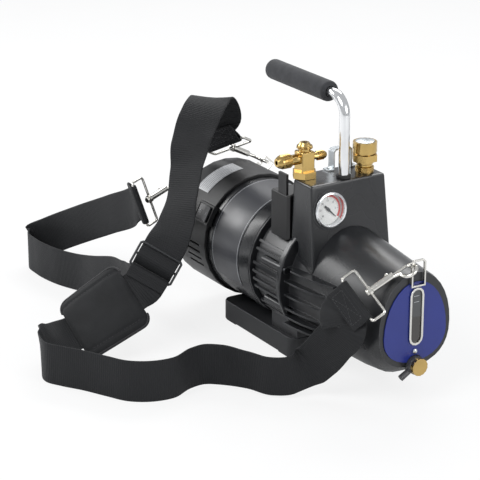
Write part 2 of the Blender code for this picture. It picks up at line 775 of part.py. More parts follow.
def centre_housing():
    spigot_r = MOTOR_R - MOTOR_WALL - GAP
    bearing_back = bearing_places()[1] - GAP
    bearing_front = bearing_back + BEARING_WIDTH + 2 * GAP
    bore = BEARING_R + PIN_CLEAR
    groove_front = HOUSING_BACK + GROOVE_WIDTH
    spigot_back = HOUSING_BACK - 0.007
    profile = [
        (LAND_R, HOUSING_FRONT), (LAND_R, HOUSING_FRONT - 0.006), (DRUM_R, HOUSING_FRONT - 0.006),
        (DRUM_R, groove_front), (GROOVE_R, groove_front), (GROOVE_R, HOUSING_BACK + 0.002),
        (MOTOR_R - 0.0005, HOUSING_BACK + 0.002), (MOTOR_R - 0.0005, HOUSING_BACK), (spigot_r, HOUSING_BACK),
        (spigot_r, spigot_back), (spigot_r - 0.003, spigot_back), (spigot_r - 0.003, HOUSING_BACK + 0.001),
        (SHAFT_R + 0.002, HOUSING_BACK + 0.001), (SHAFT_R + 0.002, bearing_back), (bore, bearing_back),
        (bore, bearing_front), (CHAMBER_R, CHAMBER_BACK), (CHAMBER_R, HOUSING_FRONT),
    ]
    housing = turned("centre_housing", profile, on_axis(0), 28, ring=True)
    foot = box("housing_foot", (groove_front, -FOOT_HALF, BASE_HEIGHT + GAP),
               (HOUSING_FRONT - 0.004, FOOT_HALF, AXIS_Z - CHAMBER_R - 0.006))
    ribs = bmesh.new()
    for angle in [a for base in RIB_ANGLES for a in (base, 180.0 - base)]:
        turn = Matrix.Translation((0, 0, AXIS_Z)) @ Matrix.Rotation(math.radians(angle), 4, "X")
        add_box(ribs, (groove_front, GROOVE_R - 0.004, -RIB_WIDTH / 2),
                (HOUSING_FRONT - 0.005, RIB_R, RIB_WIDTH / 2), turn)
    lands = bmesh.new()
    holes = bmesh.new()
    for angle in CASE_SCREW_ANGLES:
        add_rod(lands, polar(angle, CASE_SCREW_AT, groove_front + 0.02),
                polar(angle, CASE_SCREW_AT, HOUSING_FRONT - 0.0005), SCREW_BOSS_R, 14)
        add_rod(holes, polar(angle, CASE_SCREW_AT, HOUSING_FRONT - CASE_SCREW_GRIP - 0.001),
                polar(angle, CASE_SCREW_AT, HOUSING_FRONT + 0.01), CASE_SCREW_R + PIN_CLEAR, 10)
    join(housing, foot, make("housing_ribs", ribs), make("housing_lands", lands))
    cut(housing, make("housing_holes", holes))
    return paint(housing, BLACK_PAINT)


def shaft_coupling():
    front = COUPLING_BACK + COUPLING_LENGTH
    middle = COUPLING_BACK + COUPLING_LENGTH / 2
    waist = COUPLING_R - 0.004
    profile = [(COUPLING_R - 0.002, front), (COUPLING_R, front - 0.002), (COUPLING_R, middle + 0.002),
               (waist, middle + 0.002), (waist, middle - 0.002), (COUPLING_R, middle - 0.002),
               (COUPLING_R, COUPLING_BACK + 0.002), (COUPLING_R - 0.002, COUPLING_BACK), (BORE_R, COUPLING_BACK),
               (BORE_R, front)]
    return paint(turned("shaft_coupling", profile, on_axis(0), 20, ring=True), CAST_GREY)


# Vane pump inside the oil case

def pump_cylinder():
    front = PUMP_BACK + PUMP_FLOOR + PUMP_CHAMBER
    body = turned("pump_cylinder", [(0, front), (PUMP_R, front), (PUMP_R, PUMP_BACK), (0, PUMP_BACK)], on_axis(0), 28)
    centre_z = AXIS_Z + OFFSET
    chamber = rod("pump_chamber", (PUMP_BACK + PUMP_FLOOR, 0, centre_z), (front + 0.01, 0, centre_z), PUMP_BORE_R, 48)
    shaft_hole = rod("pump_shaft_hole", (PUMP_BACK - 0.01, 0, AXIS_Z), (front, 0, AXIS_Z), BORE_R)
    flat = box("pump_flat", (PUMP_BACK + 0.012, -OUTLET_FLAT_HALF, AXIS_Z + OUTLET_FLAT),
               (front + 0.01, OUTLET_FLAT_HALF, AXIS_Z + PUMP_R + 0.01))
    outlet_x = PUMP_BACK + PUMP_FLOOR + OUTLET_AT
    outlet = rod("pump_outlet", (outlet_x, 0, AXIS_Z), (outlet_x, 0, AXIS_Z + PUMP_R + 0.01), OUTLET_R, 12)
    return paint(cut(body, chamber, shaft_hole, flat, outlet), CAST_GREY)


def pump_rotor():
    back = PUMP_BACK + PUMP_FLOOR + GAP
    front = PUMP_BACK + PUMP_FLOOR + PUMP_CHAMBER - GAP
    stub_back = MOTOR_SHAFT_FRONT + 2 * GAP
    stub_front = front + GAP + END_PLATE - 0.003
    rotor = turned("pump_rotor", [(0, stub_front), (SHAFT_R, stub_front), (SHAFT_R, front), (VANE_ROTOR_R, front),
                                  (VANE_ROTOR_R, back), (SHAFT_R, back), (SHAFT_R, stub_back), (0, stub_back)],
                   on_axis(0), 28)
    slots = bmesh.new()
    half = VANE_THICK / 2 + GAP
    for side in (-1, 1):
        root = side * (VANE_ROTOR_R - VANE_DEPTH - 0.001)
        rim = side * (VANE_ROTOR_R + 0.005)
        add_box(slots, (back - 0.001, min(root, rim), AXIS_Z - half), (front + 0.001, max(root, rim), AXIS_Z + half))
    return paint(cut(rotor, make("rotor_slots", slots)), STEEL)


def vane(name, side):
    back = PUMP_BACK + PUMP_FLOOR + 2 * GAP
    front = PUMP_BACK + PUMP_FLOOR + PUMP_CHAMBER - 2 * GAP
    rim = side * (VANE_ROTOR_R - 0.0002)
    root = side * (VANE_ROTOR_R - VANE_DEPTH)
    blade = box(name, (back, min(root, rim), -VANE_THICK / 2), (front, max(root, rim), VANE_THICK / 2),
                Matrix.Translation((0, 0, AXIS_Z)))
    return paint(blade, BLACK_PLASTIC)


def pump_end_plate():
    back = PUMP_BACK + PUMP_FLOOR + PUMP_CHAMBER + GAP
    front = back + END_PLATE
    body = turned("pump_end_plate", [(0, front), (PUMP_R - 0.001, front), (PUMP_R, front - 0.001), (PUMP_R, back),
                                     (BORE_R, back), (BORE_R, front - 0.0022), (0, front - 0.0022)], on_axis(0), 28)
    flat = box("end_plate_flat", (back - 0.01, -OUTLET_FLAT_HALF, AXIS_Z + OUTLET_FLAT),
               (front + 0.01, OUTLET_FLAT_HALF, AXIS_Z + PUMP_R + 0.01))
    return paint(cut(body, flat), CAST_GREY)


# Oil case

def case_ring(place, section, shrink=0.0):
    half, widest, top, bottom = section
    ring = []
    for k in range(EGG_POINTS):
        y, z = egg_point(2 * math.pi * k / EGG_POINTS, half - shrink, widest, top - shrink, bottom + shrink)
        ring.append((place, y, z))
    return ring


def case_rings(shrink=0.0, from_x=None, to_x=None):
    rings = []
    for distance, *section in CASE_SECTIONS:
        x = CASE_BACK + distance
        if to_x is None or x < to_x - 0.001:
            rings.append(case_ring(x, section, shrink))
    if to_x is not None:
        rings.append(case_ring(to_x, section_at(to_x), shrink))
    if from_x is not None:
        rings.insert(0, case_ring(from_x, CASE_SECTIONS[0][1:], shrink))
    return rings


def section_at(x):
    """Case section between two of the given ones."""
    distance = x - CASE_BACK
    for low, high in zip(CASE_SECTIONS, CASE_SECTIONS[1:]):
        if distance <= high[0] + 1e-9:
            share = (distance - low[0]) / (high[0] - low[0])
            return [a + (b - a) * share for a, b in zip(low[1:], high[1:])]
    return list(CASE_SECTIONS[-1][1:])


def fin_outline(end):
    """Fin in plan: deep at the flange, running out at the given place."""
    start = CASE_BACK - 0.001
    root = 0.045
    span = end - start
    points = [(start, root), (start, FIN_REACH)]
    steps = 5
    for k in range(1, steps + 1):
        share = k / steps
        points.append((start + span * share, FIN_REACH - (FIN_REACH - root) * (0.10 * share + 0.42 * share ** 3)))
    points.append((end, root))
    return points


def case_fins():
    fins = bmesh.new()
    for height, end in FIN_PLACES:
        for side in (-1, 1):
            outline = [(x, side * y) for x, y in fin_outline(end)]
            low = [fins.verts.new((x, y, height - FIN_THICK / 2)) for x, y in outline]
            high = [fins.verts.new((x, y, height + FIN_THICK / 2)) for x, y in outline]
            fins.faces.new(low)
            fins.faces.new(high)
            count = len(outline)
            for k in range(count):
                fins.faces.new((low[k], low[(k + 1) % count], high[(k + 1) % count], high[k]))
    return make("case_fins", fins)


def case_screw_holes(name, back, front):
    holes = bmesh.new()
    for angle in CASE_SCREW_ANGLES:
        add_rod(holes, polar(angle, CASE_SCREW_AT, back), polar(angle, CASE_SCREW_AT, front),
                CASE_SCREW_R + PIN_CLEAR, 10)
    return make(name, holes)


def oil_case():
    case = loft("oil_case", case_rings(0.0, CASE_BACK - FLANGE / 2))
    flange_back = CASE_BACK - FLANGE
    flange = turned("case_flange", [(0, CASE_BACK + 0.0004), (FLANGE_R - 0.001, CASE_BACK + 0.0004),
                                    (FLANGE_R, CASE_BACK - 0.0006), (FLANGE_R, flange_back), (0, flange_back)],
                    on_axis(0), 28)
    cavity = loft("case_cavity", case_rings(CASE_WALL, CASE_BACK - 0.02, CASE_FRONT - CASE_FRONT_WALL))
    window = plate("sight_opening", stadium(SIGHT_HOLE_HALF, WINDOW_LOW + 0.006, WINDOW_TOP - 0.006), 0.03,
                   front_frame(CASE_FRONT))
    drain = rod("drain_hole", (CASE_FRONT - 0.03, 0, DRAIN_Z), (CASE_FRONT + 0.01, 0, DRAIN_Z),
                DRAIN_SHANK_R + PIN_CLEAR, 16)
    pins = bmesh.new()
    for y in eye_pin_places():
        add_rod(pins, (CASE_FRONT - 0.0055, y, eye_pin_z()), (CASE_FRONT + 0.01, y, eye_pin_z()), 0.0018, 10)
    add_rod(pins, (CASE_FRONT - 0.0055, 0, PANEL_SCREW_Z), (CASE_FRONT + 0.01, 0, PANEL_SCREW_Z), 0.0018, 10)
    boss = rod("drain_boss", (CASE_FRONT - 0.020, 0, DRAIN_Z), (CASE_FRONT - 0.0002, 0, DRAIN_Z), DRAIN_R, 24)
    join(case, flange, boss, case_fins())
    cut(case, case_screw_holes("flange_holes", CASE_BACK - 0.02, CASE_BACK + 0.0006), screw_seats(), window, drain,
        make("case_pin_holes", pins), cavity)
    return paint(case, BLACK_PAINT)


def screw_seats():
    """Room for the screw heads in front of the flange."""
    seats = bmesh.new()
    for angle in CASE_SCREW_ANGLES:
        add_rod(seats, polar(angle, CASE_SCREW_AT, CASE_BACK + SPOT_FACE),
                polar(angle, CASE_SCREW_AT, CASE_BACK + 0.012), CASE_SCREW_HEAD_R + 0.0006, 14)
    return make("screw_seats", seats)


def front_frame(x):
    """Local x to +Y, local y up, local z forwards."""
    return Matrix(((0, 0, 1, x), (1, 0, 0, 0), (0, 1, 0, 0), (0, 0, 0, 1)))


def eye_pin_places():
    return (-0.005, 0.005)


def eye_pin_z():
    return FRONT_EYE_LOW + EYE_STRIP / 2


def case_gasket():
    back = HOUSING_FRONT + GAP
    outer, inner = FLANGE_R - 0.0022, PUMP_R + 0.012
    ring = turned("case_gasket", [(outer, back + GASKET), (outer, back), (inner, back), (inner, back + GASKET)],
                  on_axis(0), 28, ring=True)
    return paint(cut(ring, case_screw_holes("gasket_holes", back - 0.01, back + 0.01)), GASKET_PAPER)


def flange_screws():
    seat = CASE_BACK + SPOT_FACE + GAP
    tip = HOUSING_FRONT - CASE_SCREW_GRIP
    profile = [(0, seat + CASE_SCREW_HEAD), (CASE_SCREW_HEAD_R - 0.0004, seat + CASE_SCREW_HEAD),
               (CASE_SCREW_HEAD_R, seat + CASE_SCREW_HEAD - 0.0004), (CASE_SCREW_HEAD_R, seat), (CASE_SCREW_R, seat),
               (CASE_SCREW_R, tip), (0, tip)]
    for number, angle in enumerate(CASE_SCREW_ANGLES, 1):
        place = placed(polar(angle, CASE_SCREW_AT), FORWARD)
        paint(turned(f"flange_screw_{number}", profile, place, 14), STEEL)


# Front panel, window and drain

def panel_outline(inset=0.0):
    points = []
    for k in range(32):
        y, z = egg_point(2 * math.pi * k / 32, PANEL_HALF - inset, PANEL_WIDEST, PANEL_TOP - inset,
                         PANEL_LOW + inset, 2.2)
        points.append((y, z))
    return points


def front_panel():
    middle = CASE_FRONT + GAP + PANEL / 2
    panel = as_mesh(plate("front_panel", panel_outline(), PANEL, front_frame(middle)))
    window = plate("panel_window", stadium(GLASS_HALF + GAP, WINDOW_LOW + 0.002, WINDOW_TOP - 0.002), 0.02,
                   front_frame(middle))
    drain = rod("panel_drain", (middle - 0.01, 0, DRAIN_Z), (middle + 0.01, 0, DRAIN_Z), DRAIN_R + 0.0006, 24)
    holes = bmesh.new()
    for y in eye_pin_places():
        add_rod(holes, (middle - 0.01, y, eye_pin_z()), (middle + 0.01, y, eye_pin_z()), 0.0018, 10)
    add_rod(holes, (middle - 0.01, 0, PANEL_SCREW_Z), (middle + 0.01, 0, PANEL_SCREW_Z), 0.0018, 10)
    return paint(cut(panel, window, drain, make("panel_holes", holes)), BLUE_ENAMEL)


def sight_glass():
    glass = plate("sight_glass", stadium(GLASS_HALF, WINDOW_LOW + 0.0023, WINDOW_TOP - 0.0023), GLASS_THICK,
                  front_frame(CASE_FRONT + GAP + GLASS_THICK / 2))
    return paint(glass, CLEAR)


def sight_frame():
    back = CASE_FRONT + 2 * GAP + GLASS_THICK
    frame = plate("sight_frame", stadium(WINDOW_HALF, WINDOW_LOW, WINDOW_TOP), FRAME_THICK,
                  front_frame(back + FRAME_THICK / 2),
                  [stadium(GLASS_HALF - 0.0004, WINDOW_LOW + 0.0025, WINDOW_TOP - 0.0025)])
    return paint(frame, SMOOTH_METAL)


def panel_screw():
    profile = [(0, 0.0020), (0.0020, 0.0018), (0.0030, 0.0008), (0.0030, 0), (PANEL_SCREW_R, 0),
               (PANEL_SCREW_R, -0.0055), (0, -0.0055)]
    seat = CASE_FRONT + 2 * GAP + PANEL
    return paint(turned("panel_screw", profile, placed((seat, 0, PANEL_SCREW_Z), FORWARD), 14), STEEL)


def drain_body():
    back = CASE_FRONT + GAP
    shank_back = CASE_FRONT - 0.010
    front = back + DRAIN_BODY
    profile = [(DRAIN_R - 0.001, front), (DRAIN_R, front - 0.001), (DRAIN_R, back), (DRAIN_SHANK_R, back),
               (DRAIN_SHANK_R, shank_back), (DRAIN_BORE_R, shank_back), (DRAIN_BORE_R, front)]
    body = turned("drain_body", profile, placed((0, 0, DRAIN_Z), FORWARD), 24, ring=True)
    mid = back + DRAIN_BODY / 2
    spout = rod("drain_spout", (mid, -0.007, DRAIN_Z - 0.0040), (mid, -0.0205, DRAIN_Z - 0.0118), 0.0034, 14, 0.0037)
    channel = rod("drain_channel", (mid, -0.003, DRAIN_Z - 0.0020), (mid, -0.024, DRAIN_Z - 0.0138), 0.0018, 10)
    return paint(cut(join(body, spout), channel), BLACK_PLASTIC)


def knurl(radius, teeth, depth):
    points = []
    for k in range(2 * teeth):
        angle = math.pi * k / teeth
        reach = radius if k % 2 else radius - depth
        points.append((reach * math.cos(angle), reach * math.sin(angle)))
    return points


def drain_cap():
    back = CASE_FRONT + GAP + DRAIN_BODY + GAP
    place = front_frame(back + DRAIN_CAP / 2) @ Matrix.Translation((0, DRAIN_Z, 0))
    cap = as_mesh(plate("drain_cap", knurl(DRAIN_CAP_R, DRAIN_CAP_TEETH, KNURL_DEPTH), DRAIN_CAP, place))
    plug = rod("drain_plug", (back - DRAIN_PLUG, 0, DRAIN_Z), (back + 0.001, 0, DRAIN_Z), DRAIN_BORE_R - GAP, 12)
    return paint(join(cap, plug), BRASS)


# Gauge box

def box_corners(z, shrink=0.0):
    """Box outline at a height: back edge chamfered towards the middle."""
    drop = (BOX_TOP - z)
    front = BOX_FRONT_TOP + drop * BOX_LEAN - shrink
    half = BOX_HALF_TOP + drop * BOX_FLARE - shrink
    side_back = BOX_SIDE_BACK + shrink
    mid_back = BOX_MID_BACK + shrink
    mid = BOX_MID_HALF
    return [(front, half), (side_back, half), (mid_back, mid), (mid_back, -mid), (side_back, -half), (front, -half)]


def gauge_frame(out=0.0):
    """Frame on the leaning front wall: local x up the wall, local z out of it."""
    lean = Vector((1, 0, BOX_LEAN)).normalized()
    wall = BOX_FRONT_TOP + (BOX_TOP - GAUGE_Z) * BOX_LEAN
    return placed(Vector((wall, GAUGE_Y, GAUGE_Z)) + lean * out, lean)


def housing_clearance(extra):
    """Solid round the housing and the flange for the box to sit on."""
    reach = max(LAND_R, RIB_R) + extra
    flange_back = CASE_BACK - FLANGE - 0.0012
    front = CASE_BACK + 0.0004 + CASE_SCREW_HEAD + 2 * GAP
    return turned("box_seat_round", [(0, front), (CASE_SCREW_AT + CASE_SCREW_HEAD_R + extra, front),
                                     (CASE_SCREW_AT + CASE_SCREW_HEAD_R + extra, CASE_BACK + 0.0006),
                                     (FLANGE_R + extra, CASE_BACK + 0.0006), (FLANGE_R + extra, flange_back),
                                     (reach + 0.001, flange_back), (reach + 0.001, 0.02), (0, 0.02)], on_axis(0), 28)


def case_clearance(name, extra):
    rings = case_rings(-extra, CASE_BACK - 0.006)
    return loft(name, rings[:5])


def fin_clearance():
    """Slots for the top fins in the box's lower corners."""
    bm = bmesh.new()
    for height, end in FIN_PLACES[:1]:
        half = FIN_THICK / 2 + GAP
        for side in (-1, 1):
            low, high = sorted((side * 0.040, side * (FIN_REACH + 0.002)))
            add_box(bm, (CASE_BACK - 0.002, low, height - half), (end + 0.004, high, height + half))
    return make("fin_clearance", bm)


def gauge_box():
    outer = loft("gauge_box", [[(x, y, z) for x, y in box_corners(z)] for z in (BOX_LOW, BOX_TOP)])
    bevel(outer, BOX_EDGE, 2, 30.0)
    top_inside = BOX_TOP - BOX_WALL
    heights = (BOX_LOW - 0.01, top_inside)
    inner = loft("box_inside", [[(x, y, z) for x, y in box_corners(z, BOX_WALL)] for z in heights])
    rim_back = -0.002
    rim = [(GAUGE_RING_R, GAUGE_RIM), (GAUGE_RING_R, rim_back), (GAUGE_R, rim_back), (GAUGE_R, GAUGE_RIM)]
    ring = turned("gauge_rim", rim, gauge_frame(), 24, ring=True)
    top_holes = bmesh.new()
    for (x, y), radius in ((INTAKE, SHANK_R), (BALLAST, SHANK_R), (HANDLE, HANDLE_ROD_R)):
        add_rod(top_holes, (x, y, BOX_TOP - 0.012), (x, y, BOX_TOP + 0.01), radius + PIN_CLEAR, 20)
    lean = gauge_frame()
    gauge_hole = rod("gauge_hole", lean @ Vector((0, 0, -0.02)), lean @ Vector((0, 0, 0.01)), GAUGE_R + PIN_CLEAR, 32)
    bracket = bmesh.new()
    for y in bracket_rivet_places():
        add_rod(bracket, (BRACKET_X, y, BOX_TOP - 0.01), (BRACKET_X, y, BOX_TOP + 0.01), RIVET_R + PIN_CLEAR, 10)
    join(outer, ring)
    cut(outer, inner, housing_clearance(GAP), case_clearance("box_seat_case", GAP), fin_clearance(),
        make("top_holes", top_holes), gauge_hole, make("bracket_holes", bracket))
    return paint(outer, BLACK_PAINT)


def junction_outline():
    """Plan of the junction box, which fits the gauge box's chamfered back."""
    inner_x = BOX_MID_BACK - GAP
    side_x = BOX_SIDE_BACK - JUNCTION_BACK_OFF
    return [(JUNCTION_BACK, -JUNCTION_HALF), (side_x - JUNCTION_CHAMFER, -JUNCTION_HALF),
            (side_x, -BOX_HALF_TOP - JUNCTION_CHAMFER), (inner_x, -BOX_MID_HALF - 0.0012), (inner_x, -JUNCTION_IN),
            (JUNCTION_BACK, -JUNCTION_IN)]


def junction_box():
    outline = junction_outline()
    body = loft("junction_box", [[(x, y, z) for x, y in outline] for z in (JUNCTION_LOW - 0.02, JUNCTION_TOP)])
    bevel(body, 0.0015, 1, 30.0)
    wall = JUNCTION_WALL
    inside = box("junction_inside", (JUNCTION_BACK + wall, -JUNCTION_HALF + wall, JUNCTION_LOW - 0.03),
                 (BOX_MID_BACK - GAP - wall, -JUNCTION_IN - wall, JUNCTION_TOP - wall))
    tab_x = BOX_SIDE_BACK - 0.0068
    tab = box("junction_tab", (tab_x - TAB_LENGTH, -JUNCTION_HALF + 0.0005, JUNCTION_TOP - 0.004),
              (tab_x, -JUNCTION_HALF + 0.0035, TAB_TOP))
    reach = LAND_R + 0.0015
    seat = turned("junction_seat", [(0, 0.12), (reach, 0.12), (reach, 0.02), (0, 0.02)], on_axis(0), 28)
    return paint(cut(join(body, tab), inside, seat), BLACK_PLASTIC)


def gauge_case():
    bezel = GAUGE_BEZEL
    seat = GAUGE_RIM + GAP
    depth = DIAL_DEPTH
    profile = [(GAUGE_BEZEL_R - 0.0012, seat + bezel), (GAUGE_BEZEL_R, seat + bezel - 0.0008),
               (GAUGE_BEZEL_R, seat), (GAUGE_R - 0.0002, seat), (GAUGE_R - 0.0002, -GAUGE_DEPTH), (0, -GAUGE_DEPTH),
               (0, -depth), (GAUGE_R - 0.0014, -depth), (GAUGE_R - 0.0014, seat + bezel)]
    return paint(turned("gauge_case", profile, gauge_frame(), 24, ring=True), SMOOTH_METAL)


def gauge_dial():
    radius = GAUGE_R - 0.0014 - GAP
    back = GAP - DIAL_DEPTH
    front = back + DIAL_THICK
    return paint(turned("gauge_dial", [(radius, front), (radius, back), (0.0011, back), (0.0011, front)],
                        gauge_frame(), 24, ring=True), WHITE_ENAMEL)


def gauge_pointer():
    """Needle with its counterweight; local x points along the needle."""
    outline = [(-0.0062, -0.0013), (-0.0062, 0.0013), (-0.0030, 0.0013), (-0.0014, 0.0018), (0.0014, 0.0018),
               (0.0030, 0.0009), (0.0132, 0.0003), (0.0132, -0.0003), (0.0030, -0.0009), (0.0014, -0.0018),
               (-0.0014, -0.0018), (-0.0030, -0.0013)]
    back = 2 * GAP - DIAL_DEPTH + DIAL_THICK + POINTER_THICK
    turn = Matrix.Rotation(math.radians(180 - GAUGE_REST), 4, "Z")
    place = gauge_frame() @ turn
    middle = place @ Matrix.Translation((0, 0, back + POINTER_THICK / 2))
    needle = as_mesh(plate("gauge_pointer", outline, POINTER_THICK, middle))
    pin_front = back + POINTER_THICK + 0.0003
    pin = rod("pointer_pin", place @ Vector((0, 0, GAP - DIAL_DEPTH)), place @ Vector((0, 0, pin_front)), 0.0008, 10)
    return paint(join(needle, pin), BLACK_PLASTIC)


def gauge_lens():
    radius = GAUGE_R - 0.0014 - GAP
    return paint(turned("gauge_lens", [(0, 0.0034), (radius - 0.002, 0.0031), (radius, 0.0026), (radius, 0.0014),
                                       (0, 0.0014)], gauge_frame(), 24), CLEAR)


def flare_end(name, base, tip, radius, sides=14):
    """Flare fitting with its thread, nose cone and bore."""
    base, tip = Vector(base), Vector(tip)
    length = (tip - base).length
    waist = radius * 0.78
    nose = radius * 0.60
    profile = [(nose, length), (radius * 0.92, length - radius * 0.45), (radius, length - radius * 0.75),
               (radius, length * 0.42), (waist, length * 0.34), (waist, 0), (0, 0), (0, length * 0.5),
               (nose * 0.55, length * 0.5), (nose * 0.55, length)]
    return turned(name, profile, placed(base, tip - base), sides, ring=True)


def intake_manifold():
    x, y = INTAKE
    seat = BOX_TOP + GAP
    body_half = 0.0088
    block = box("intake_block", (x - body_half, y - body_half, seat + INTAKE_HEX - 0.002),
                (x + body_half, y + body_half, INTAKE_SIDE_Z + body_half))
    bevel(block, 0.0012, 1)
    shank = rod("intake_shank", (x, y, seat - SHANK_LENGTH), (x, y, seat + 0.001), SHANK_R, 20)
    top = flare_end("intake_top", (x, y, INTAKE_SIDE_Z + body_half - 0.001), (x, y, INTAKE_TOP), FLARE_R)
    left = flare_end("intake_left", (x, y - body_half + 0.001, INTAKE_SIDE_Z), (x, INTAKE_TIP, INTAKE_SIDE_Z),
                     SIDE_FLARE_R)
    right = flare_end("intake_right", (x, y + body_half - 0.001, INTAKE_SIDE_Z), (x, y + 0.029, INTAKE_SIDE_Z),
                      SMALL_FLARE_R, 14)
    hexagon = rod("intake_hex", (x, y, seat), (x, y, seat + INTAKE_HEX), INTAKE_HEX_R, 6)
    body = rod("intake_manifold", (x, y, seat + INTAKE_HEX / 2), (x, y, INTAKE_SIDE_Z), body_half * 0.9, 20)
    return paint(join(body, hexagon, shank, block, top, left, right), BRASS)


def ballast_body():
    x, y = BALLAST
    seat = BOX_TOP + GAP
    hex_low = seat + BALLAST_NECK
    hex_top = hex_low + BALLAST_HEX
    stem_top = hex_top + BALLAST_CAP * 0.6
    profile = [(0, stem_top), (BALLAST_STEM_R, stem_top), (BALLAST_STEM_R, hex_top - 0.002),
               (BALLAST_NECK_R, hex_top - 0.002), (BALLAST_NECK_R, hex_low - 0.003),
               (BALLAST_NECK_R - 0.0015, hex_low - 0.004), (BALLAST_NECK_R - 0.0015, hex_low - 0.006),
               (BALLAST_NECK_R, hex_low - 0.007), (BALLAST_NECK_R, seat), (SHANK_R, seat),
               (SHANK_R, seat - SHANK_LENGTH), (0, seat - SHANK_LENGTH)]
    body = turned("ballast_body", profile, placed((x, y, 0), UP, FORWARD), 24)
    hexagon = rod("ballast_hex", (x, y, hex_low), (x, y, hex_top), BALLAST_HEX_R, 6)
    return paint(join(body, hexagon), BRASS)


def ballast_cap():
    x, y = BALLAST
    low = BOX_TOP + GAP + BALLAST_NECK + BALLAST_HEX + GAP
    middle = low + BALLAST_CAP / 2
    cap = as_mesh(plate("ballast_cap", knurl(BALLAST_CAP_R, BALLAST_CAP_TEETH, KNURL_DEPTH), BALLAST_CAP - 0.002,
                        Matrix.Translation((x, y, middle + 0.001))))
    waist = rod("cap_waist", (x, y, low), (x, y, low + 0.003), BALLAST_CAP_R - 0.002, 24)
    bore = rod("cap_bore", (x, y, low - 0.002), (x, y, low + BALLAST_CAP * 0.6 + GAP), BALLAST_STEM_R + PIN_CLEAR, 20)
    return paint(cut(join(cap, waist), bore), BRASS)


# Handle and bracket

def handle_collar():
    seat = BOX_TOP + GAP
    x, y = HANDLE
    bore = HANDLE_ROD_R + PIN_CLEAR
    ring = turned("handle_collar", [(COLLAR_R - 0.0005, seat + COLLAR), (COLLAR_R, seat + COLLAR - 0.0005),
                                    (COLLAR_R, seat), (bore, seat), (bore, seat + COLLAR)],
                  placed((x, y, 0), UP, FORWARD), 24, ring=True)
    return paint(ring, BLACK_PLASTIC)


def handle_rod():
    x, y = HANDLE
    bend_z = HANDLE_AXIS_Z - HANDLE_BEND
    points = [(x, y, BOX_TOP - HANDLE_FOOT), (x, y, BOX_TOP + 0.02), (x, y, bend_z - 0.01)]
    steps = 10
    for k in range(steps + 1):
        angle = math.pi / 2 * k / steps
        points.append((x - HANDLE_BEND * (1 - math.cos(angle)), y, bend_z + HANDLE_BEND * math.sin(angle)))
    points.append((HANDLE_END, y, HANDLE_AXIS_Z))
    return paint(tube("handle_rod", points, HANDLE_ROD_R, 2), SMOOTH_METAL)


def handle_grip():
    length = GRIP_FRONT - GRIP_BACK
    bore = HANDLE_ROD_R + PIN_CLEAR
    end_wall = HANDLE_END - GRIP_BACK - GAP
    edge = 0.0035
    profile = [(GRIP_R - edge * 0.7, length), (GRIP_R - edge * 0.2, length - edge * 0.3), (GRIP_R, length - edge)]
    for k in range(5):
        angle = math.pi / 2 * k / 4
        round_r = 0.006
        profile.append((GRIP_R - round_r * (1 - math.cos(angle)), round_r * (1 - math.sin(angle))))
    profile += [(0, 0), (0, end_wall), (bore, end_wall), (bore, length)]
    place = placed((GRIP_BACK, HANDLE[1], HANDLE_AXIS_Z), FORWARD)
    return paint(turned("handle_grip", profile, place, 24, ring=True), FOAM)


def bracket_rivet_places():
    return (BRACKET_NEAR - 0.004, BRACKET_FAR + 0.004)


def top_bracket():
    """Bent strip standing on the box behind the handle rod, open below."""
    seat = BOX_TOP + GAP
    near, far, top = BRACKET_NEAR, BRACKET_FAR, BRACKET_TOP
    strip = BRACKET_THICK
    foot = 0.0075
    edge = 0.004
    outline = [
        (near - foot, seat), (near + strip, seat), (near + strip, top - edge), (near + edge, top - strip),
        (far - edge, top - strip), (far - strip, top - edge), (far - strip, seat), (far + foot, seat),
        (far + foot, seat + strip), (far, seat + strip), (far, top - edge + 0.001), (far - edge + 0.001, top),
        (near + edge - 0.001, top), (near, top - edge + 0.001), (near, seat + strip), (near - foot, seat + strip),
    ]
    bracket = as_mesh(plate("top_bracket", outline, BRACKET_LENGTH, front_frame(BRACKET_X)))
    rivets = bmesh.new()
    for y in bracket_rivet_places():
        add_rod(rivets, (BRACKET_X, y, BOX_TOP - BOX_WALL), (BRACKET_X, y, seat + strip + 0.0012), RIVET_R, 10)
    return paint(join(bracket, make("bracket_rivets", rivets)), ZINC)


# Strap eyes

def front_strap_eye():
    back = CASE_FRONT + GAP + PANEL + 2 * GAP
    half, low, top, strip = FRONT_EYE_HALF, FRONT_EYE_LOW, FRONT_EYE_TOP, EYE_STRIP
    outer = [(half, low), (half, top - 0.003), (half - 0.003, top), (-half + 0.003, top), (-half, top - 0.003),
             (-half, low)]
    inner = [(half - strip, low + strip), (half - strip, top - 0.004), (half - 0.004, top - strip),
             (-half + 0.004, top - strip), (-half + strip, top - 0.004), (-half + strip, low + strip)]
    eye = as_mesh(plate("front_strap_eye", outer, EYE_WIDTH, front_frame(back + EYE_WIDTH / 2), [inner]))
    pins = bmesh.new()
    for y in eye_pin_places():
        add_rod(pins, (CASE_FRONT - 0.005, y, eye_pin_z()), (back + 0.001, y, eye_pin_z()), 0.0008, 8)
    return paint(join(eye, make("eye_pins", pins)), SMOOTH_METAL)


def lug_frame(side):
    """Local x round the cover (towards the far side), local y outwards, local z along -X."""
    angle = math.radians(LUG_ANGLE)
    out = Vector((0, side * math.cos(angle), math.sin(angle)))
    z_axis = Vector((-1, 0, 0))
    x_axis = out.cross(z_axis)
    matrix = Matrix((x_axis, out, z_axis)).transposed().to_4x4()
    matrix.translation = Vector((LUG_X, 0, AXIS_Z)) + out * (COVER_R + GAP)
    return matrix


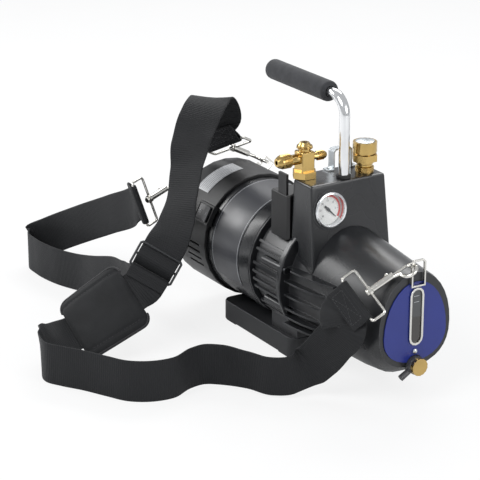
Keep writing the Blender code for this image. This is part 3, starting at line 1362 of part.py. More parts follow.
def lug_outline():
    half = EYE_SPAN / 2
    strip = EYE_STRIP
    top = LUG_RISE + BOW_WIRE_R + LUG_CLEAR + strip
    tip = half + LUG_FOOT
    drop = (COVER_R + GAP) - math.sqrt((COVER_R + GAP) ** 2 - tip ** 2)
    return [(-tip, -drop), (-half + strip, 0), (-half + strip, top - strip), (half - strip, top - strip),
            (half - strip, 0), (tip, -drop), (tip, strip - drop), (half, strip), (half, top - 0.001),
            (half - 0.001, top), (-half + 0.001, top), (-half, top - 0.001), (-half, strip), (-tip, strip - drop)]


def rear_strap_eye(name, side):
    return paint(plate(name, lug_outline(), EYE_WIDTH, lug_frame(side)), SMOOTH_METAL)


# Snap hooks

def hook_frame(leg, swivel, bow_side):
    """Local x along the shank to the tip, local y to the bow side; the origin is the swivel."""
    along = (Vector(leg) - Vector(swivel)).normalized()
    side = Vector(bow_side)
    side = (side - side.dot(along) * along).normalized()
    reach = math.hypot(*LEG_IN_BOW)
    c, s = LEG_IN_BOW[0] / reach, LEG_IN_BOW[1] / reach
    x = c * along - s * side
    y = s * along + c * side
    matrix = Matrix((x, y, x.cross(y))).transposed().to_4x4()
    matrix.translation = Vector(leg) - along * reach
    return matrix


def lug_leg(side):
    """Middle of the eye leg that the bow goes round: the inner one of each rear eye."""
    return lug_frame(side) @ Vector((EYE_SPAN / 2 - EYE_STRIP / 2, LUG_RISE, 0))


def hook_places():
    far, near = lug_leg(1), lug_leg(-1)
    return {
        "front": hook_frame(FRONT_EYE_CENTRE, Vector(FRONT_EYE_CENTRE) - Vector((0.36, 0.81, 0.463)), (1, 0, 0)),
        "far": hook_frame(far, far + Vector((0.0030, -0.0463, 0.0246)), (1, 0, 0)),
        "near": hook_frame(near, near + Vector((0.0054, -0.0510, -0.0110)), (1, 0, 0)),
    }


RING_LONG_SIDES = {"front": (0.72, 0.28, -0.63), "far": (0.75, 0.50, 0.41), "near": (0.25, 0.0, -0.97)}


def ring_frame(key):
    """Local x along the ring's long side, local y away from the hook, at the swivel."""
    place = hook_places()[key]
    away = -place.to_3x3().col[0]
    long_side = Vector(RING_LONG_SIDES[key])
    long_side = (long_side - long_side.dot(away) * away).normalized()
    matrix = Matrix((long_side, away, long_side.cross(away))).transposed().to_4x4()
    matrix.translation = place.translation
    return matrix


def ring_bar(key):
    """Middle of the ring side that carries the webbing."""
    return ring_frame(key) @ Vector((0, RING_BOSS / 2 - 0.0008 + RING_SHORT, 0))


def hook_ring(key):
    frame = ring_frame(key)
    middle = RING_BOSS / 2 - 0.0008
    points = []
    for index, (sx, sy) in enumerate(((1, 1), (-1, 1), (-1, -1), (1, -1))):
        for k in range(3):
            angle = math.pi / 2 * (index + k / 2)
            x = sx * (RING_LONG / 2 - RING_CORNER) + RING_CORNER * math.cos(angle)
            y = sy * (RING_SHORT / 2 - RING_CORNER) + RING_CORNER * math.sin(angle)
            points.append((x, y + RING_SHORT / 2 + middle, 0))
    ring = as_mesh(tube("hook_ring_" + key, points, RING_WIRE_R, 1, True, frame))
    low, high = middle - RING_BOSS / 2, middle + RING_BOSS / 2
    boss = rod("ring_boss_" + key, frame @ Vector((0, low, 0)), frame @ Vector((0, high, 0)), RING_BOSS_R, 16)
    hole = rod("ring_hole_" + key, frame @ Vector((0, low - 0.002, 0)), frame @ Vector((0, high + 0.002, 0)),
               STEM_R + PIN_CLEAR + 0.0001, 14)
    return paint(cut(join(ring, boss), hole), SMOOTH_METAL)


def bow_points():
    points = [(BARREL_FRONT - 0.003, 0.0015, 0), (BARREL_FRONT + 0.0005, 0.0032, 0)]
    first, last = math.radians(200), math.radians(-68)
    steps = 11
    for k in range(steps + 1):
        angle = first + (last - first) * k / steps
        points.append((BOW_AT[0] + BOW_RING_R * math.cos(angle), BOW_AT[1] + BOW_RING_R * math.sin(angle), 0))
    return points


def hook_body(key, frame):
    boss_back = -(RING_BOSS - 0.0008)
    head_front = boss_back - GAP
    spin = frame @ placed((0, 0, 0), FORWARD)
    profile = [(BARREL_R - 0.0006, BARREL_FRONT), (BARREL_R, BARREL_FRONT - 0.0006), (BARREL_R, BARREL_BACK + 0.0006),
               (BARREL_R - 0.0006, BARREL_BACK), (STEM_R, BARREL_BACK), (STEM_R, head_front), (HEAD_R, head_front),
               (HEAD_R, head_front - HEAD + 0.001), (HEAD_R - 0.001, head_front - HEAD), (0, head_front - HEAD)]
    body = turned("hook_body_" + key, [(0, BARREL_FRONT)] + profile, spin, 16)
    bow = tube("hook_bow_" + key, bow_points(), BOW_WIRE_R, 1, False, frame)
    bore_r = BOLT_ROD_R + GAP
    bore = rod("bolt_bore_" + key, frame @ Vector((BOLT_TAIL - BOLT_TRAVEL - 0.0008, 0, 0)),
               frame @ Vector((0.041, 0, 0)), bore_r, 14)
    slot = box("bolt_slot_" + key, (KNOB_AT - BOLT_TRAVEL - KNOB_R - 0.0004, -BARREL_R - 0.002, -KNOB_R - GAP),
               (KNOB_AT + KNOB_R + 0.0004, 0, KNOB_R + GAP), frame)
    return paint(cut(join(body, bow), bore, slot), SMOOTH_METAL)


def hook_bolt(key, frame):
    tail, tip = frame @ Vector((BOLT_TAIL, 0, 0)), frame @ Vector((BOLT_TIP, 0, 0))
    bolt = rod("hook_bolt_" + key, tail, tip, BOLT_ROD_R, 12)
    knob = rod("bolt_knob_" + key, frame @ Vector((KNOB_AT, 0, 0)), frame @ Vector((KNOB_AT, -KNOB_REACH, 0)),
               KNOB_R, 10)
    top = rod("bolt_thumb_" + key, frame @ Vector((KNOB_AT, -KNOB_REACH + 0.0022, 0)),
              frame @ Vector((KNOB_AT, -KNOB_REACH, 0)), 0.0019, 10, 0.0024)
    return paint(join(bolt, knob, top), SMOOTH_METAL)


# Shoulder strap

def smooth_rows(stations, pitch):
    """Smooth curve through (place, direction) stations, with a row about every pitch."""
    places = [Vector(item[0]) for item in stations]
    sides = [Vector(item[1]).normalized() for item in stations]
    lengths = [(b - a).length for a, b in zip(places, places[1:])]
    rows = []
    for i, length in enumerate(lengths):
        steps = max(1, math.ceil(length / pitch))
        for k in range(steps):
            t = k / steps
            place = hermite(places[i], places[i + 1], slope(places, lengths, i) * length,
                            slope(places, lengths, i + 1) * length, t)
            rows.append((place, sides[i].lerp(sides[i + 1], t)))
    rows.append((places[-1], sides[-1]))
    return rows


def slope(points, lengths, i):
    """Direction of the curve at a station, per unit of length."""
    if i == 0:
        return (points[1] - points[0]) / lengths[0]
    if i == len(points) - 1:
        return (points[-1] - points[-2]) / lengths[-1]
    before, after = lengths[i - 1], lengths[i]
    arrive = (points[i] - points[i - 1]) / before
    depart = (points[i + 1] - points[i]) / after
    return (arrive * after + depart * before) / (before + after)


def hermite(a, b, leave_a, reach_b, t):
    return (a * (2 * t ** 3 - 3 * t ** 2 + 1) + leave_a * (t ** 3 - 2 * t ** 2 + t) + b * (3 * t ** 2 - 2 * t ** 3)
            + reach_b * (t ** 3 - t ** 2))


def ribbon(name, stations, width, thickness):
    """Webbing swept through stations of place and width direction."""
    rows = smooth_rows(stations, WEB_PITCH)
    rings = []
    for i, (place, across) in enumerate(rows):
        ahead = rows[min(i + 1, len(rows) - 1)][0] - rows[max(i - 1, 0)][0]
        ahead.normalize()
        across = (across - across.dot(ahead) * ahead).normalized()
        out = across.cross(ahead)
        rings.append([place + across * (sx * width / 2) + out * (sy * thickness / 2)
                      for sx, sy in ((1, 1), (-1, 1), (-1, -1), (1, -1))])
    return loft(name, rings)


def loop_end(bar, across, leave, bar_r, side=1, tail=WEB_TAIL):
    """Webbing end: from its sewn tail round a bar to the side where the strap leaves."""
    bar, across = Vector(bar), Vector(across).normalized()
    leave = Vector(leave)
    leave = (leave - leave.dot(across) * across).normalized()
    out = side * across.cross(leave)
    layer = (WEB_THICK + GAP) / 2
    reach = bar_r + GAP + WEB_THICK / 2
    stations = [(bar + leave * tail - out * layer, across), (bar + leave * tail * 0.55 - out * layer * 1.15, across)]
    for degrees in (-90, -135, 180, 135, 90):
        angle = math.radians(degrees)
        stations.append((bar + leave * (reach * math.cos(angle)) + out * (reach * math.sin(angle)), across))
    stations.append((bar + leave * tail * 0.55 + out * layer * 1.15, across))
    stations.append((bar + leave * tail + out * layer, across))
    return stations


def slider_axes():
    across = Vector(SLIDER_ACROSS).normalized()
    down = Vector(SLIDER_DOWN)
    down = (down - down.dot(across) * across).normalized()
    return across, down, down.cross(across)


def slider_point(down_by, out_by):
    across, down, out = slider_axes()
    return Vector(SLIDER_AT) + down * down_by + out * out_by


def strap_rear():
    across, down, out = slider_axes()
    ring_b = ring_bar("far")
    long_b = ring_frame("far").to_3x3().col[0]
    ring_c = ring_bar("near")
    long_c = ring_frame("near").to_3x3().col[0]
    pitch = SLIDER_HEIGHT / 2 - SLIDER_BAR_R
    beside = SLIDER_BAR_R + GAP + WEB_THICK / 2 + GAP
    behind = beside + WEB_THICK + 2 * GAP
    first = Vector(REAR_STRAP_OVER[0][0]) - ring_b
    last = Vector(REAR_STRAP_FLOOR[-1][0]) - ring_c
    stations = loop_end(ring_b, long_b, first, RING_WIRE_R, -1)
    stations += REAR_STRAP_OVER
    stations += [
        (slider_point(-pitch, -beside), across),
        (slider_point(0, beside), across),
        (slider_point(pitch, -behind), across),
        (slider_point(pitch + 0.009, -behind - 0.001), across),
    ]
    stations += REAR_STRAP_FLOOR
    stations += loop_end(ring_c, long_c, last, RING_WIRE_R)[::-1]
    return paint(ribbon("strap_rear", stations, WEB_WIDTH, WEB_THICK), WEBBING)


def strap_front():
    across, down, out = slider_axes()
    ring_a = ring_bar("front")
    long_a = ring_frame("front").to_3x3().col[0]
    pitch = SLIDER_HEIGHT / 2 - SLIDER_BAR_R
    low_bar = slider_point(pitch, 0)
    stations = loop_end(ring_a, long_a, Vector(FRONT_STRAP[0][0]) - ring_a, RING_WIRE_R)
    stations += FRONT_STRAP
    stations += [pad_station(share) for share in (0, 0.35, 0.7, 1.0)]
    stations += loop_end(low_bar, across, pad_station(1.0)[0] - low_bar, SLIDER_BAR_R, 1, SLIDER_TAIL)[::-1]
    return paint(ribbon("strap_front", stations, WEB_WIDTH, WEB_THICK), WEBBING)


REAR_STRAP_OVER = [
    ((-0.1350, -0.0200, 0.2400), (0.66, 0.73, 0.16)),
    ((-0.1170, -0.0450, 0.2740), (0.54, 0.84, -0.07)),
    ((-0.1060, -0.0585, 0.2710), (0.53, 0.84, -0.04)),
    ((-0.0940, -0.0755, 0.2590), (0.50, 0.86, 0.07)),
    ((-0.0820, -0.0940, 0.2350), (0.71, 0.68, 0.19)),
    ((-0.0720, -0.1070, 0.2030), (0.94, 0.32, 0.10)),
    ((-0.0630, -0.1180, 0.1740), (0.97, 0.22, 0.05)),
    ((-0.0550, -0.1310, 0.1470), (0.92, 0.36, -0.14)),
]
REAR_STRAP_FLOOR = [
    ((-0.0720, -0.1720, 0.0760), (0.40, 0.40, -0.83)),
    ((-0.1030, -0.1680, 0.0670), (0.22, 0.30, -0.93)),
    ((-0.1490, -0.1650, 0.0560), (0.16, 0.13, -0.98)),
    ((-0.1950, -0.1670, 0.0420), (0.06, 0.04, -1.0)),
    ((-0.2410, -0.1670, 0.0300), (0.0, 0.0, -1.0)),
    ((-0.2960, -0.1800, 0.0262), (0.0, 0.0, -1.0)),
    ((-0.3390, -0.1840, 0.0260), (0.0, 0.0, -1.0)),
    ((-0.3680, -0.1800, 0.0262), (0.0, 0.0, -1.0)),
    ((-0.3800, -0.1680, 0.0285), (0.0, 0.0, -1.0)),
    ((-0.3600, -0.1520, 0.0420), (0.04, -0.02, -1.0)),
    ((-0.3030, -0.1340, 0.0720), (0.12, -0.06, -0.98)),
    ((-0.2400, -0.1230, 0.1020), (0.20, -0.08, -0.97)),
    ((-0.1820, -0.1200, 0.1300), (0.28, -0.08, -0.95)),
]
FRONT_STRAP = [
    ((0.2285, -0.0800, 0.1010), (0.62, 0.40, -0.66)),
    ((0.2120, -0.0860, 0.0740), (0.30, 0.50, -0.80)),
    ((0.1900, -0.0910, 0.0480), (0.10, 0.36, -0.92)),
    ((0.1800, -0.0960, 0.0380), (0.0, 0.10, -0.99)),
    ((0.1740, -0.1160, 0.0300), (-0.10, 0.10, -0.99)),
    ((0.1590, -0.1310, 0.0270), (-0.12, 0.09, -0.99)),
    ((0.1290, -0.1430, 0.0262), (-0.12, 0.09, -0.99)),
    ((0.0990, -0.1615, 0.0260), (0.0, 0.0, -1.0)),
    ((0.0880, -0.1770, 0.0260), (0.0, 0.0, -1.0)),
    ((0.0895, -0.1950, 0.0260), (0.0, 0.0, -1.0)),
    ((0.1030, -0.2260, 0.0260), (0.0, 0.0, -1.0)),
    ((0.0997, -0.2500, 0.0260), (0.0, 0.0, -1.0)),
    ((0.0840, -0.2740, 0.0260), (0.0, 0.0, -1.0)),
    ((0.0600, -0.2880, 0.0260), (0.0, 0.0, -1.0)),
    ((0.0300, -0.3040, 0.0260), (0.0, 0.0, -1.0)),
    ((0.0056, -0.3200, 0.0260), (0.0, 0.0, -1.0)),
    ((-0.0130, -0.3290, 0.0260), (0.0, 0.0, -1.0)),
    ((-0.0300, -0.3260, 0.0262), (0.05, 0.0, -1.0)),
    ((-0.0450, -0.3130, 0.0280), (0.30, 0.10, -0.93)),
    ((-0.0600, -0.2990, 0.0275), (0.62, 0.15, -0.75)),
    ((-0.0680, -0.2830, 0.0260), (0.82, 0.16, -0.50)),
]


PAD_STATIONS = (
    ((-0.0680, -0.2644, 0.0285), (0.88, 0.08, -0.46)),
    ((-0.0455, -0.1960, 0.0735), (0.80, 0.40, -0.45)),
)


def pad_station(share):
    """Place and width direction along the pad's middle line."""
    spot = share * (len(PAD_STATIONS) - 1)
    low = min(int(spot), len(PAD_STATIONS) - 2)
    part = spot - low
    return tuple(Vector(a).lerp(Vector(b), part) for a, b in zip(PAD_STATIONS[low], PAD_STATIONS[low + 1]))


def pad_rings(width, thickness, start, end, edge):
    rings = []
    count = 9
    for i in range(count):
        share = start + (end - start) * i / (count - 1)
        inside = min(max(share, 0), 1)
        place, across = pad_station(inside)
        before, after = pad_station(max(inside - 0.1, 0))[0], pad_station(min(inside + 0.1, 1))[0]
        ahead = (after - before).normalized()
        place = place + ahead * (share - inside) * 0.08
        across = (across - across.dot(ahead) * ahead).normalized()
        out = across.cross(ahead)
        ring = []
        for sx, sy in ((1, 0), (1 - edge, 1), (edge - 1, 1), (-1, 0), (edge - 1, -1), (1 - edge, -1)):
            ring.append(place + across * (sx * width / 2) + out * (sy * thickness / 2))
        rings.append(ring)
    return rings


def shoulder_pad():
    body = loft("shoulder_pad", pad_rings(PAD_WIDTH, PAD_THICK, 0.02, 0.98, 0.06))
    sleeve = loft("pad_sleeve", pad_rings(PAD_SLOT_WIDTH, PAD_SLOT + WEB_THICK, -0.15, 1.15, 0.02))
    return paint(cut(body, sleeve), WEBBING)


def slider():
    across, down, out = slider_axes()
    matrix = Matrix((across, down, out)).transposed().to_4x4()
    matrix.translation = Vector(SLIDER_AT)
    half_w = SLIDER_WIDTH / 2 - SLIDER_BAR_R
    half_h = SLIDER_HEIGHT / 2 - SLIDER_BAR_R
    corner = 0.002
    loop = [(half_w, half_h - corner), (half_w - corner, half_h), (-half_w + corner, half_h),
            (-half_w, half_h - corner), (-half_w, -half_h + corner), (-half_w + corner, -half_h),
            (half_w - corner, -half_h), (half_w, -half_h + corner)]
    frame = as_mesh(tube("slider", [(x, y, 0) for x, y in loop], SLIDER_BAR_R, 2, True, matrix))
    ends = matrix @ Vector((-half_w, 0, 0)), matrix @ Vector((half_w, 0, 0))
    middle = rod("slider_bar", *ends, SLIDER_BAR_R * 0.98, 10)
    return paint(join(frame, middle), BLACK_PLASTIC)


def build():
    base_pad()
    motor_shell()
    rear_cover()
    switch_rocker()
    cord_gland()
    rear_bell()
    rear, front = bearing_places()
    bearing("rear_bearing", rear)
    bearing("front_bearing", front)
    stator()
    centre_housing()
    shaft_line = empty("shaft_line", Matrix.Translation((0, 0, AXIS_Z)))
    for piece in (motor_shaft(), rotor_core(), cooling_fan(), shaft_coupling(), pump_rotor(), vane("vane_near", -1),
                  vane("vane_far", 1)):
        hold(piece, shaft_line)
    pump_cylinder()
    pump_end_plate()
    oil_case()
    case_gasket()
    flange_screws()
    front_panel()
    sight_glass()
    sight_frame()
    panel_screw()
    drain_body()
    hold(drain_cap(), empty("drain_axis", Matrix.Translation((CASE_FRONT, 0, DRAIN_Z))))
    gauge_box()
    junction_box()
    gauge_case()
    gauge_dial()
    hold(gauge_pointer(), empty("gauge_axis", gauge_frame()))
    gauge_lens()
    intake_manifold()
    ballast_body()
    hold(ballast_cap(), empty("ballast_axis", Matrix.Translation((*BALLAST, BOX_TOP))))
    handle_collar()
    handle_rod()
    handle_grip()
    top_bracket()
    front_strap_eye()
    rear_strap_eye("far_strap_eye", 1)
    rear_strap_eye("near_strap_eye", -1)
    for key, frame in hook_places().items():
        swivel = empty("hook_swivel_" + key, frame)
        hook_ring(key)
        hold(hook_body(key, frame), swivel)
        hold(hook_bolt(key, frame), swivel)
    strap_rear()
    strap_front()
    shoulder_pad()
    slider()


build()
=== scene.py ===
"""Finishes, soft goods and studio of a portable rotary vane vacuum pump.

Metres, +Z up, +X towards the oil case's front panel, the carrying strap on the -Y side.
"""
import json
import math

import bmesh
import bpy
from mathutils import Matrix, Vector, noise


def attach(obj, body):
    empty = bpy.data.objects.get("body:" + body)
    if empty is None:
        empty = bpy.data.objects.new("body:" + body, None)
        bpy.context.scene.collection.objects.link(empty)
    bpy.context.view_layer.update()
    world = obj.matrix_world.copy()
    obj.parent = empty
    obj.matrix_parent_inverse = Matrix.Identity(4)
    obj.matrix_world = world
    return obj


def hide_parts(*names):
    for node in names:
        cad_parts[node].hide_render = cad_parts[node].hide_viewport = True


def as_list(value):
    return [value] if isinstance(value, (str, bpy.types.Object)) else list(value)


bl_info = {
    "name": "Portable vacuum pump",
    "version": (1, 0, 0),
    "blender": (4, 5, 0),
    "location": "View3D > Sidebar > Pump",
    "description": "Finishes a portable vane pump: castings, brass fittings, gauge, hooks, webbing and pad",
    "category": "Object",
}

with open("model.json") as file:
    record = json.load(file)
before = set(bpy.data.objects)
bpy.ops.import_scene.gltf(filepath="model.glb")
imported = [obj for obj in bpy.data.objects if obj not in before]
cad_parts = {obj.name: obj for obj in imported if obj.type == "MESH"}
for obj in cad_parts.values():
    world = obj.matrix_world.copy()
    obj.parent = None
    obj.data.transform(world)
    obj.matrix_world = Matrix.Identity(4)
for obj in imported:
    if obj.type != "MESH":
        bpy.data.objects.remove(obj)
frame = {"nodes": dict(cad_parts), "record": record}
BODIES = frame["record"]["behaviour"]["bodies"]
BODY_OF = {node: body for body, nodes in BODIES.items() for node in nodes}

# Places on the pump, from its named sizes
AXIS_Z = 0.101
MOTOR_LABEL_R = 0.0739
MOTOR_LABEL = (-0.0683, -0.0067)
COVER_R = 0.0785
COVER_BACK = -0.162
COVER_PLATE = (-0.134, -0.108)
GAUGE_AT = Vector((0.11854, -0.027, 0.195))
GAUGE_OUT = Vector((0.99425, 0.0, 0.10708)).normalized()
DIAL_FRONT = -0.0044
INTAKE = Vector((0.0805, -0.0375, 0.249))
BALLAST = Vector((0.100, 0.033, 0.0))
CAP_TOP = 0.2631
GLASS_FRONT = 0.2519
RING_WIRE_R = 0.0017
RING_BARS = {
    "front": ((0.23234, -0.06695, 0.13064), (0.71368, 0.23316, -0.66053)),
    "far": ((-0.14576, -0.00859, 0.20211), (0.7723, 0.4584, 0.4398)),
    "near": ((-0.14254, -0.13252, 0.14437), (0.17742, 0.26035, -0.94907)),
}

# Webbing: centre line stations of place and width direction
WEB_LAYER = 0.0023
WEB_TAIL = 0.024
WEB_CLEAR = 0.0013
SLIDER_BAR_R = 0.0016
SLIDER_HALF = 0.0154
SLIDER_AT = Vector((-0.045, -0.165, 0.105))
SLIDER_ACROSS = Vector((0.60178, 0.65193, -0.46136))
SLIDER_DOWN = Vector((-0.12344, -0.4948, -0.86019))
SLIDER_OUT = Vector((0.78907, -0.5746, 0.21728))
REAR_OVER = [
    ((-0.1350, -0.0200, 0.2400), (0.66, 0.73, 0.16)),
    ((-0.1170, -0.0450, 0.2740), (0.54, 0.84, -0.07)),
    ((-0.1060, -0.0585, 0.2710), (0.53, 0.84, -0.04)),
    ((-0.0940, -0.0755, 0.2590), (0.50, 0.86, 0.07)),
    ((-0.0820, -0.0940, 0.2350), (0.71, 0.68, 0.19)),
    ((-0.0720, -0.1070, 0.2030), (0.94, 0.32, 0.10)),
    ((-0.0630, -0.1180, 0.1740), (0.97, 0.22, 0.05)),
    ((-0.0550, -0.1310, 0.1470), (0.92, 0.36, -0.14)),
]
REAR_FLOOR = [
    ((-0.0720, -0.1720, 0.0760), (0.40, 0.40, -0.83)),
    ((-0.1030, -0.1680, 0.0670), (0.22, 0.30, -0.93)),
    ((-0.1490, -0.1650, 0.0560), (0.16, 0.13, -0.98)),
    ((-0.1950, -0.1670, 0.0420), (0.06, 0.04, -1.0)),
    ((-0.2410, -0.1670, 0.0300), (0.0, 0.0, -1.0)),
    ((-0.2960, -0.1800, 0.0262), (0.0, 0.0, -1.0)),
    ((-0.3390, -0.1840, 0.0260), (0.0, 0.0, -1.0)),
    ((-0.3680, -0.1800, 0.0262), (0.0, 0.0, -1.0)),
    ((-0.3800, -0.1680, 0.0285), (0.0, 0.0, -1.0)),
    ((-0.3600, -0.1520, 0.0420), (0.04, -0.02, -1.0)),
    ((-0.3030, -0.1340, 0.0720), (0.12, -0.06, -0.98)),
    ((-0.2400, -0.1230, 0.1020), (0.20, -0.08, -0.97)),
    ((-0.1820, -0.1200, 0.1300), (0.28, -0.08, -0.95)),
]
FRONT_OVER = [
    ((0.2285, -0.0800, 0.1010), (0.62, 0.40, -0.66)),
    ((0.2120, -0.0860, 0.0740), (0.30, 0.50, -0.80)),
    ((0.1900, -0.0910, 0.0480), (0.10, 0.36, -0.92)),
    ((0.1800, -0.0960, 0.0380), (0.0, 0.10, -0.99)),
    ((0.1740, -0.1160, 0.0300), (-0.10, 0.10, -0.99)),
    ((0.1590, -0.1310, 0.0270), (-0.12, 0.09, -0.99)),
    ((0.1290, -0.1430, 0.0262), (-0.12, 0.09, -0.99)),
    ((0.0990, -0.1615, 0.0260), (0.0, 0.0, -1.0)),
    ((0.0880, -0.1770, 0.0260), (0.0, 0.0, -1.0)),
    ((0.0895, -0.1950, 0.0260), (0.0, 0.0, -1.0)),
    ((0.1030, -0.2260, 0.0260), (0.0, 0.0, -1.0)),
    ((0.0997, -0.2500, 0.0260), (0.0, 0.0, -1.0)),
    ((0.0840, -0.2740, 0.0260), (0.0, 0.0, -1.0)),
    ((0.0600, -0.2880, 0.0260), (0.0, 0.0, -1.0)),
    ((0.0300, -0.3040, 0.0260), (0.0, 0.0, -1.0)),
    ((0.0056, -0.3200, 0.0260), (0.0, 0.0, -1.0)),
    ((-0.0130, -0.3290, 0.0260), (0.0, 0.0, -1.0)),
    ((-0.0300, -0.3260, 0.0262), (0.05, 0.0, -1.0)),
    ((-0.0450, -0.3130, 0.0280), (0.30, 0.10, -0.93)),
    ((-0.0600, -0.2990, 0.0275), (0.62, 0.15, -0.75)),
    ((-0.0680, -0.2830, 0.0260), (0.82, 0.16, -0.50)),
]
WEB_COLUMNS = (-1.0, -0.985, -0.93, -0.8, -0.5, -0.2, 0.2, 0.5, 0.8, 0.93, 0.985, 1.0)
SEAM_NEAR = 0.0025
SEAM_FAR = 0.0185
SEAM_INSET = 0.006
SEAM_PITCH = 0.0042

# Pad: middle and width direction at its two ends, its round corners and its sewn channel
PAD_LOW = (Vector((-0.0680, -0.2644, 0.0285)), Vector((0.88, 0.08, -0.46)))
PAD_HIGH = (Vector((-0.0455, -0.1960, 0.0735)), Vector((0.80, 0.40, -0.45)))
PAD_LENGTH = (PAD_HIGH[0] - PAD_LOW[0]).length
PAD_CORNER = 0.012
PAD_CHANNEL = 0.0085
PAD_CHANNEL_WIDE = 0.0014
PAD_SLOT_HALF = 0.0268
PAD_SLOT_RISE = 0.0022

# Small parts that only the scene has
FILM_THICK = 0.00016
FILM_LIFT = 0.00004
INK_THICK = 0.00008
COVER_SCREW_CIRCLE = 0.0655
SWITCH_PIVOT = Vector((-0.0885, -0.07064, 0.13856))
SWITCH_ALONG = Vector((1, 0, 0))
SWITCH_UP = Vector((0, 0.46947, 0.88295))
SWITCH_OUT = Vector((0, -0.88295, 0.46947))
SWITCH_TILT = -7.0
SWITCH_MARK_AT = 0.0078
DIAL_ZERO = 135.0
DIAL_STEP = 9.0
DIAL_TICK_TIP = 0.0144
DIAL_NUMBER_R = 0.0102

# Lamps: name, place, aim, width and height, watts
LAMPS = (
    ("key_lamp", (0.55, -1.70, 1.75), (0.02, -0.05, 0.10), (1.3, 0.9), 26.0),
    ("fill_lamp", (1.90, 0.70, 0.90), (0.05, 0.0, 0.10), (1.0, 1.0), 15.0),
    ("back_lamp", (-1.10, 0.95, 1.70), (0.0, 0.0, 0.12), (1.5, 0.7), 22.0),
    ("flank_lamp", (-1.60, -1.10, 0.95), (0.05, 0.0, 0.12), (1.1, 0.7), 16.0),
)
CAMERA_AT = (1.8661, -1.2163, 0.9150)
CAMERA_AZIMUTH = 58.55
CAMERA_DROP = 19.71

# A wave texture's bands repeat once a metre at this scale
WAVE_SCALE = 0.31416
EVEN = (1.0, 1.0, 1.0)


def linear(code):
    """Linear colour with alpha from an sRGB hex value."""
    channels = [int(code[i:i + 2], 16) / 255 for i in (1, 3, 5)]
    return tuple(c / 12.92 if c <= 0.04045 else ((c + 0.055) / 1.055) ** 2.4 for c in channels) + (1.0,)


def colour_property(name, description, code):
    return bpy.props.FloatVectorProperty(name=name, description=description, subtype="COLOR", size=4, min=0.0,
                                         max=1.0, default=linear(code))


def length_property(name, description, metres):
    return bpy.props.FloatProperty(name=name, description=description, default=metres, min=0.0, unit="LENGTH")


class PumpColours(bpy.types.PropertyGroup):
    coating: colour_property("Casting coat", "Black powder coat of the castings", "#222325")
    motor: colour_property("Motor coat", "Black enamel of the motor shell", "#1E1F21")
    moulded: colour_property("Moulded black", "Black moulded plastic", "#141415")
    # Motor label's grey is lighter than its near-black film: partly painted sheen.
    label: colour_property("Motor label", "Dark grey film of the motor label", "#3C3D41")
    plate: colour_property("Cover plate", "Pale film of the cover's plate", "#C9CACC")
    panel: colour_property("Front panel", "Blue print of the front panel", "#1C2A78")
    brass: colour_property("Brass", "Machined brass of the fittings", "#BFA266")
    webbing: colour_property("Webbing", "Black yarn of the straps", "#1A1B1D")
    pad: colour_property("Pad cloth", "Black cloth of the shoulder pad", "#161719")
    arc: colour_property("Dial red", "Red band of the gauge dial", "#D9453F")
    low_arc: colour_property("Dial green", "Green band of the gauge dial", "#2F9C6E")


class PumpSizes(bpy.types.PropertyGroup):
    web_width: length_property("Webbing width", "Width of the strap webbing", 0.050)
    web_thick: length_property("Webbing thickness", "Thickness of the strap webbing", 0.0018)
    web_rib: length_property("Webbing rib", "Pitch of the ribs across the webbing", 0.0026)
    stitch: length_property("Stitch", "Length of one stitch", 0.0030)
    thread: length_property("Thread", "Radius of the sewing thread", 0.00032)
    pad_width: length_property("Pad width", "Width of the shoulder pad", 0.086)
    pad_thick: length_property("Pad thickness", "Thickness of the pad at its middle", 0.0165)
    coat_grain: length_property("Coat grain", "Size of the powder coat's orange peel", 0.0011)
    foam_cell: length_property("Foam cell", "Size of the grip foam's open cells", 0.0009)
    screw_head: length_property("Cover screw head", "Radius of the rear cover's screw heads", 0.0036)


# Materials

def add_node(tree, kind, settings=None, inputs=None):
    """Node of that kind with its settings, and its inputs set or linked."""
    node = tree.nodes.new(kind)
    for name, value in (settings or {}).items():
        setattr(node, name, value)
    for name, value in (inputs or {}).items():
        if isinstance(value, bpy.types.NodeSocket):
            tree.links.new(value, node.inputs[name])
        else:
            node.inputs[name].default_value = value
    return node


def material(name):
    """New material with a surface shader and its output."""
    mat = bpy.data.materials.new(name)
    mat.use_nodes = True
    tree = mat.node_tree
    tree.nodes.clear()
    shader = add_node(tree, "ShaderNodeBsdfPrincipled")
    add_node(tree, "ShaderNodeOutputMaterial", inputs={"Surface": shader.outputs[0]})
    return mat, tree, shader


def noise_map(tree, size, detail=2.0, stretch=EVEN, rough=0.5):
    """Noise over the object whose grains measure about the given size in metres."""
    place = add_node(tree, "ShaderNodeTexCoord")
    turn = add_node(tree, "ShaderNodeMapping", inputs={"Vector": place.outputs["Object"], "Scale": stretch})
    return add_node(tree, "ShaderNodeTexNoise", inputs={
        "Vector": turn.outputs[0], "Scale": 0.5 / size, "Detail": detail, "Roughness": rough}).outputs[0]


def ranged(tree, value, low, high, from_low=0.3, from_high=0.7):
    return add_node(tree, "ShaderNodeMapRange", inputs={
        "Value": value, "From Min": from_low, "From Max": from_high, "To Min": low, "To Max": high}).outputs[0]


def clouds(tree, size, detail=2.0):
    """Broad noise, as it is and spread over 0 to 1."""
    cloud = noise_map(tree, size, detail)
    return cloud, ranged(tree, cloud, 0.0, 1.0)


def weave_wave(tree, direction, pitch, distortion, grain):
    """Wave across the weave's own map with the given pitch in metres."""
    place = add_node(tree, "ShaderNodeUVMap", {"uv_map": "weave"})
    return add_node(tree, "ShaderNodeTexWave", {"bands_direction": direction}, {
        "Vector": place.outputs[0], "Scale": WAVE_SCALE / pitch, "Distortion": distortion, "Detail": 1.0,
        "Detail Scale": grain}).outputs["Fac"]


def sums(tree, operation, *values, clamp=False):
    return add_node(tree, "ShaderNodeMath", {"operation": operation, "use_clamp": clamp},
                    dict(enumerate(values))).outputs[0]


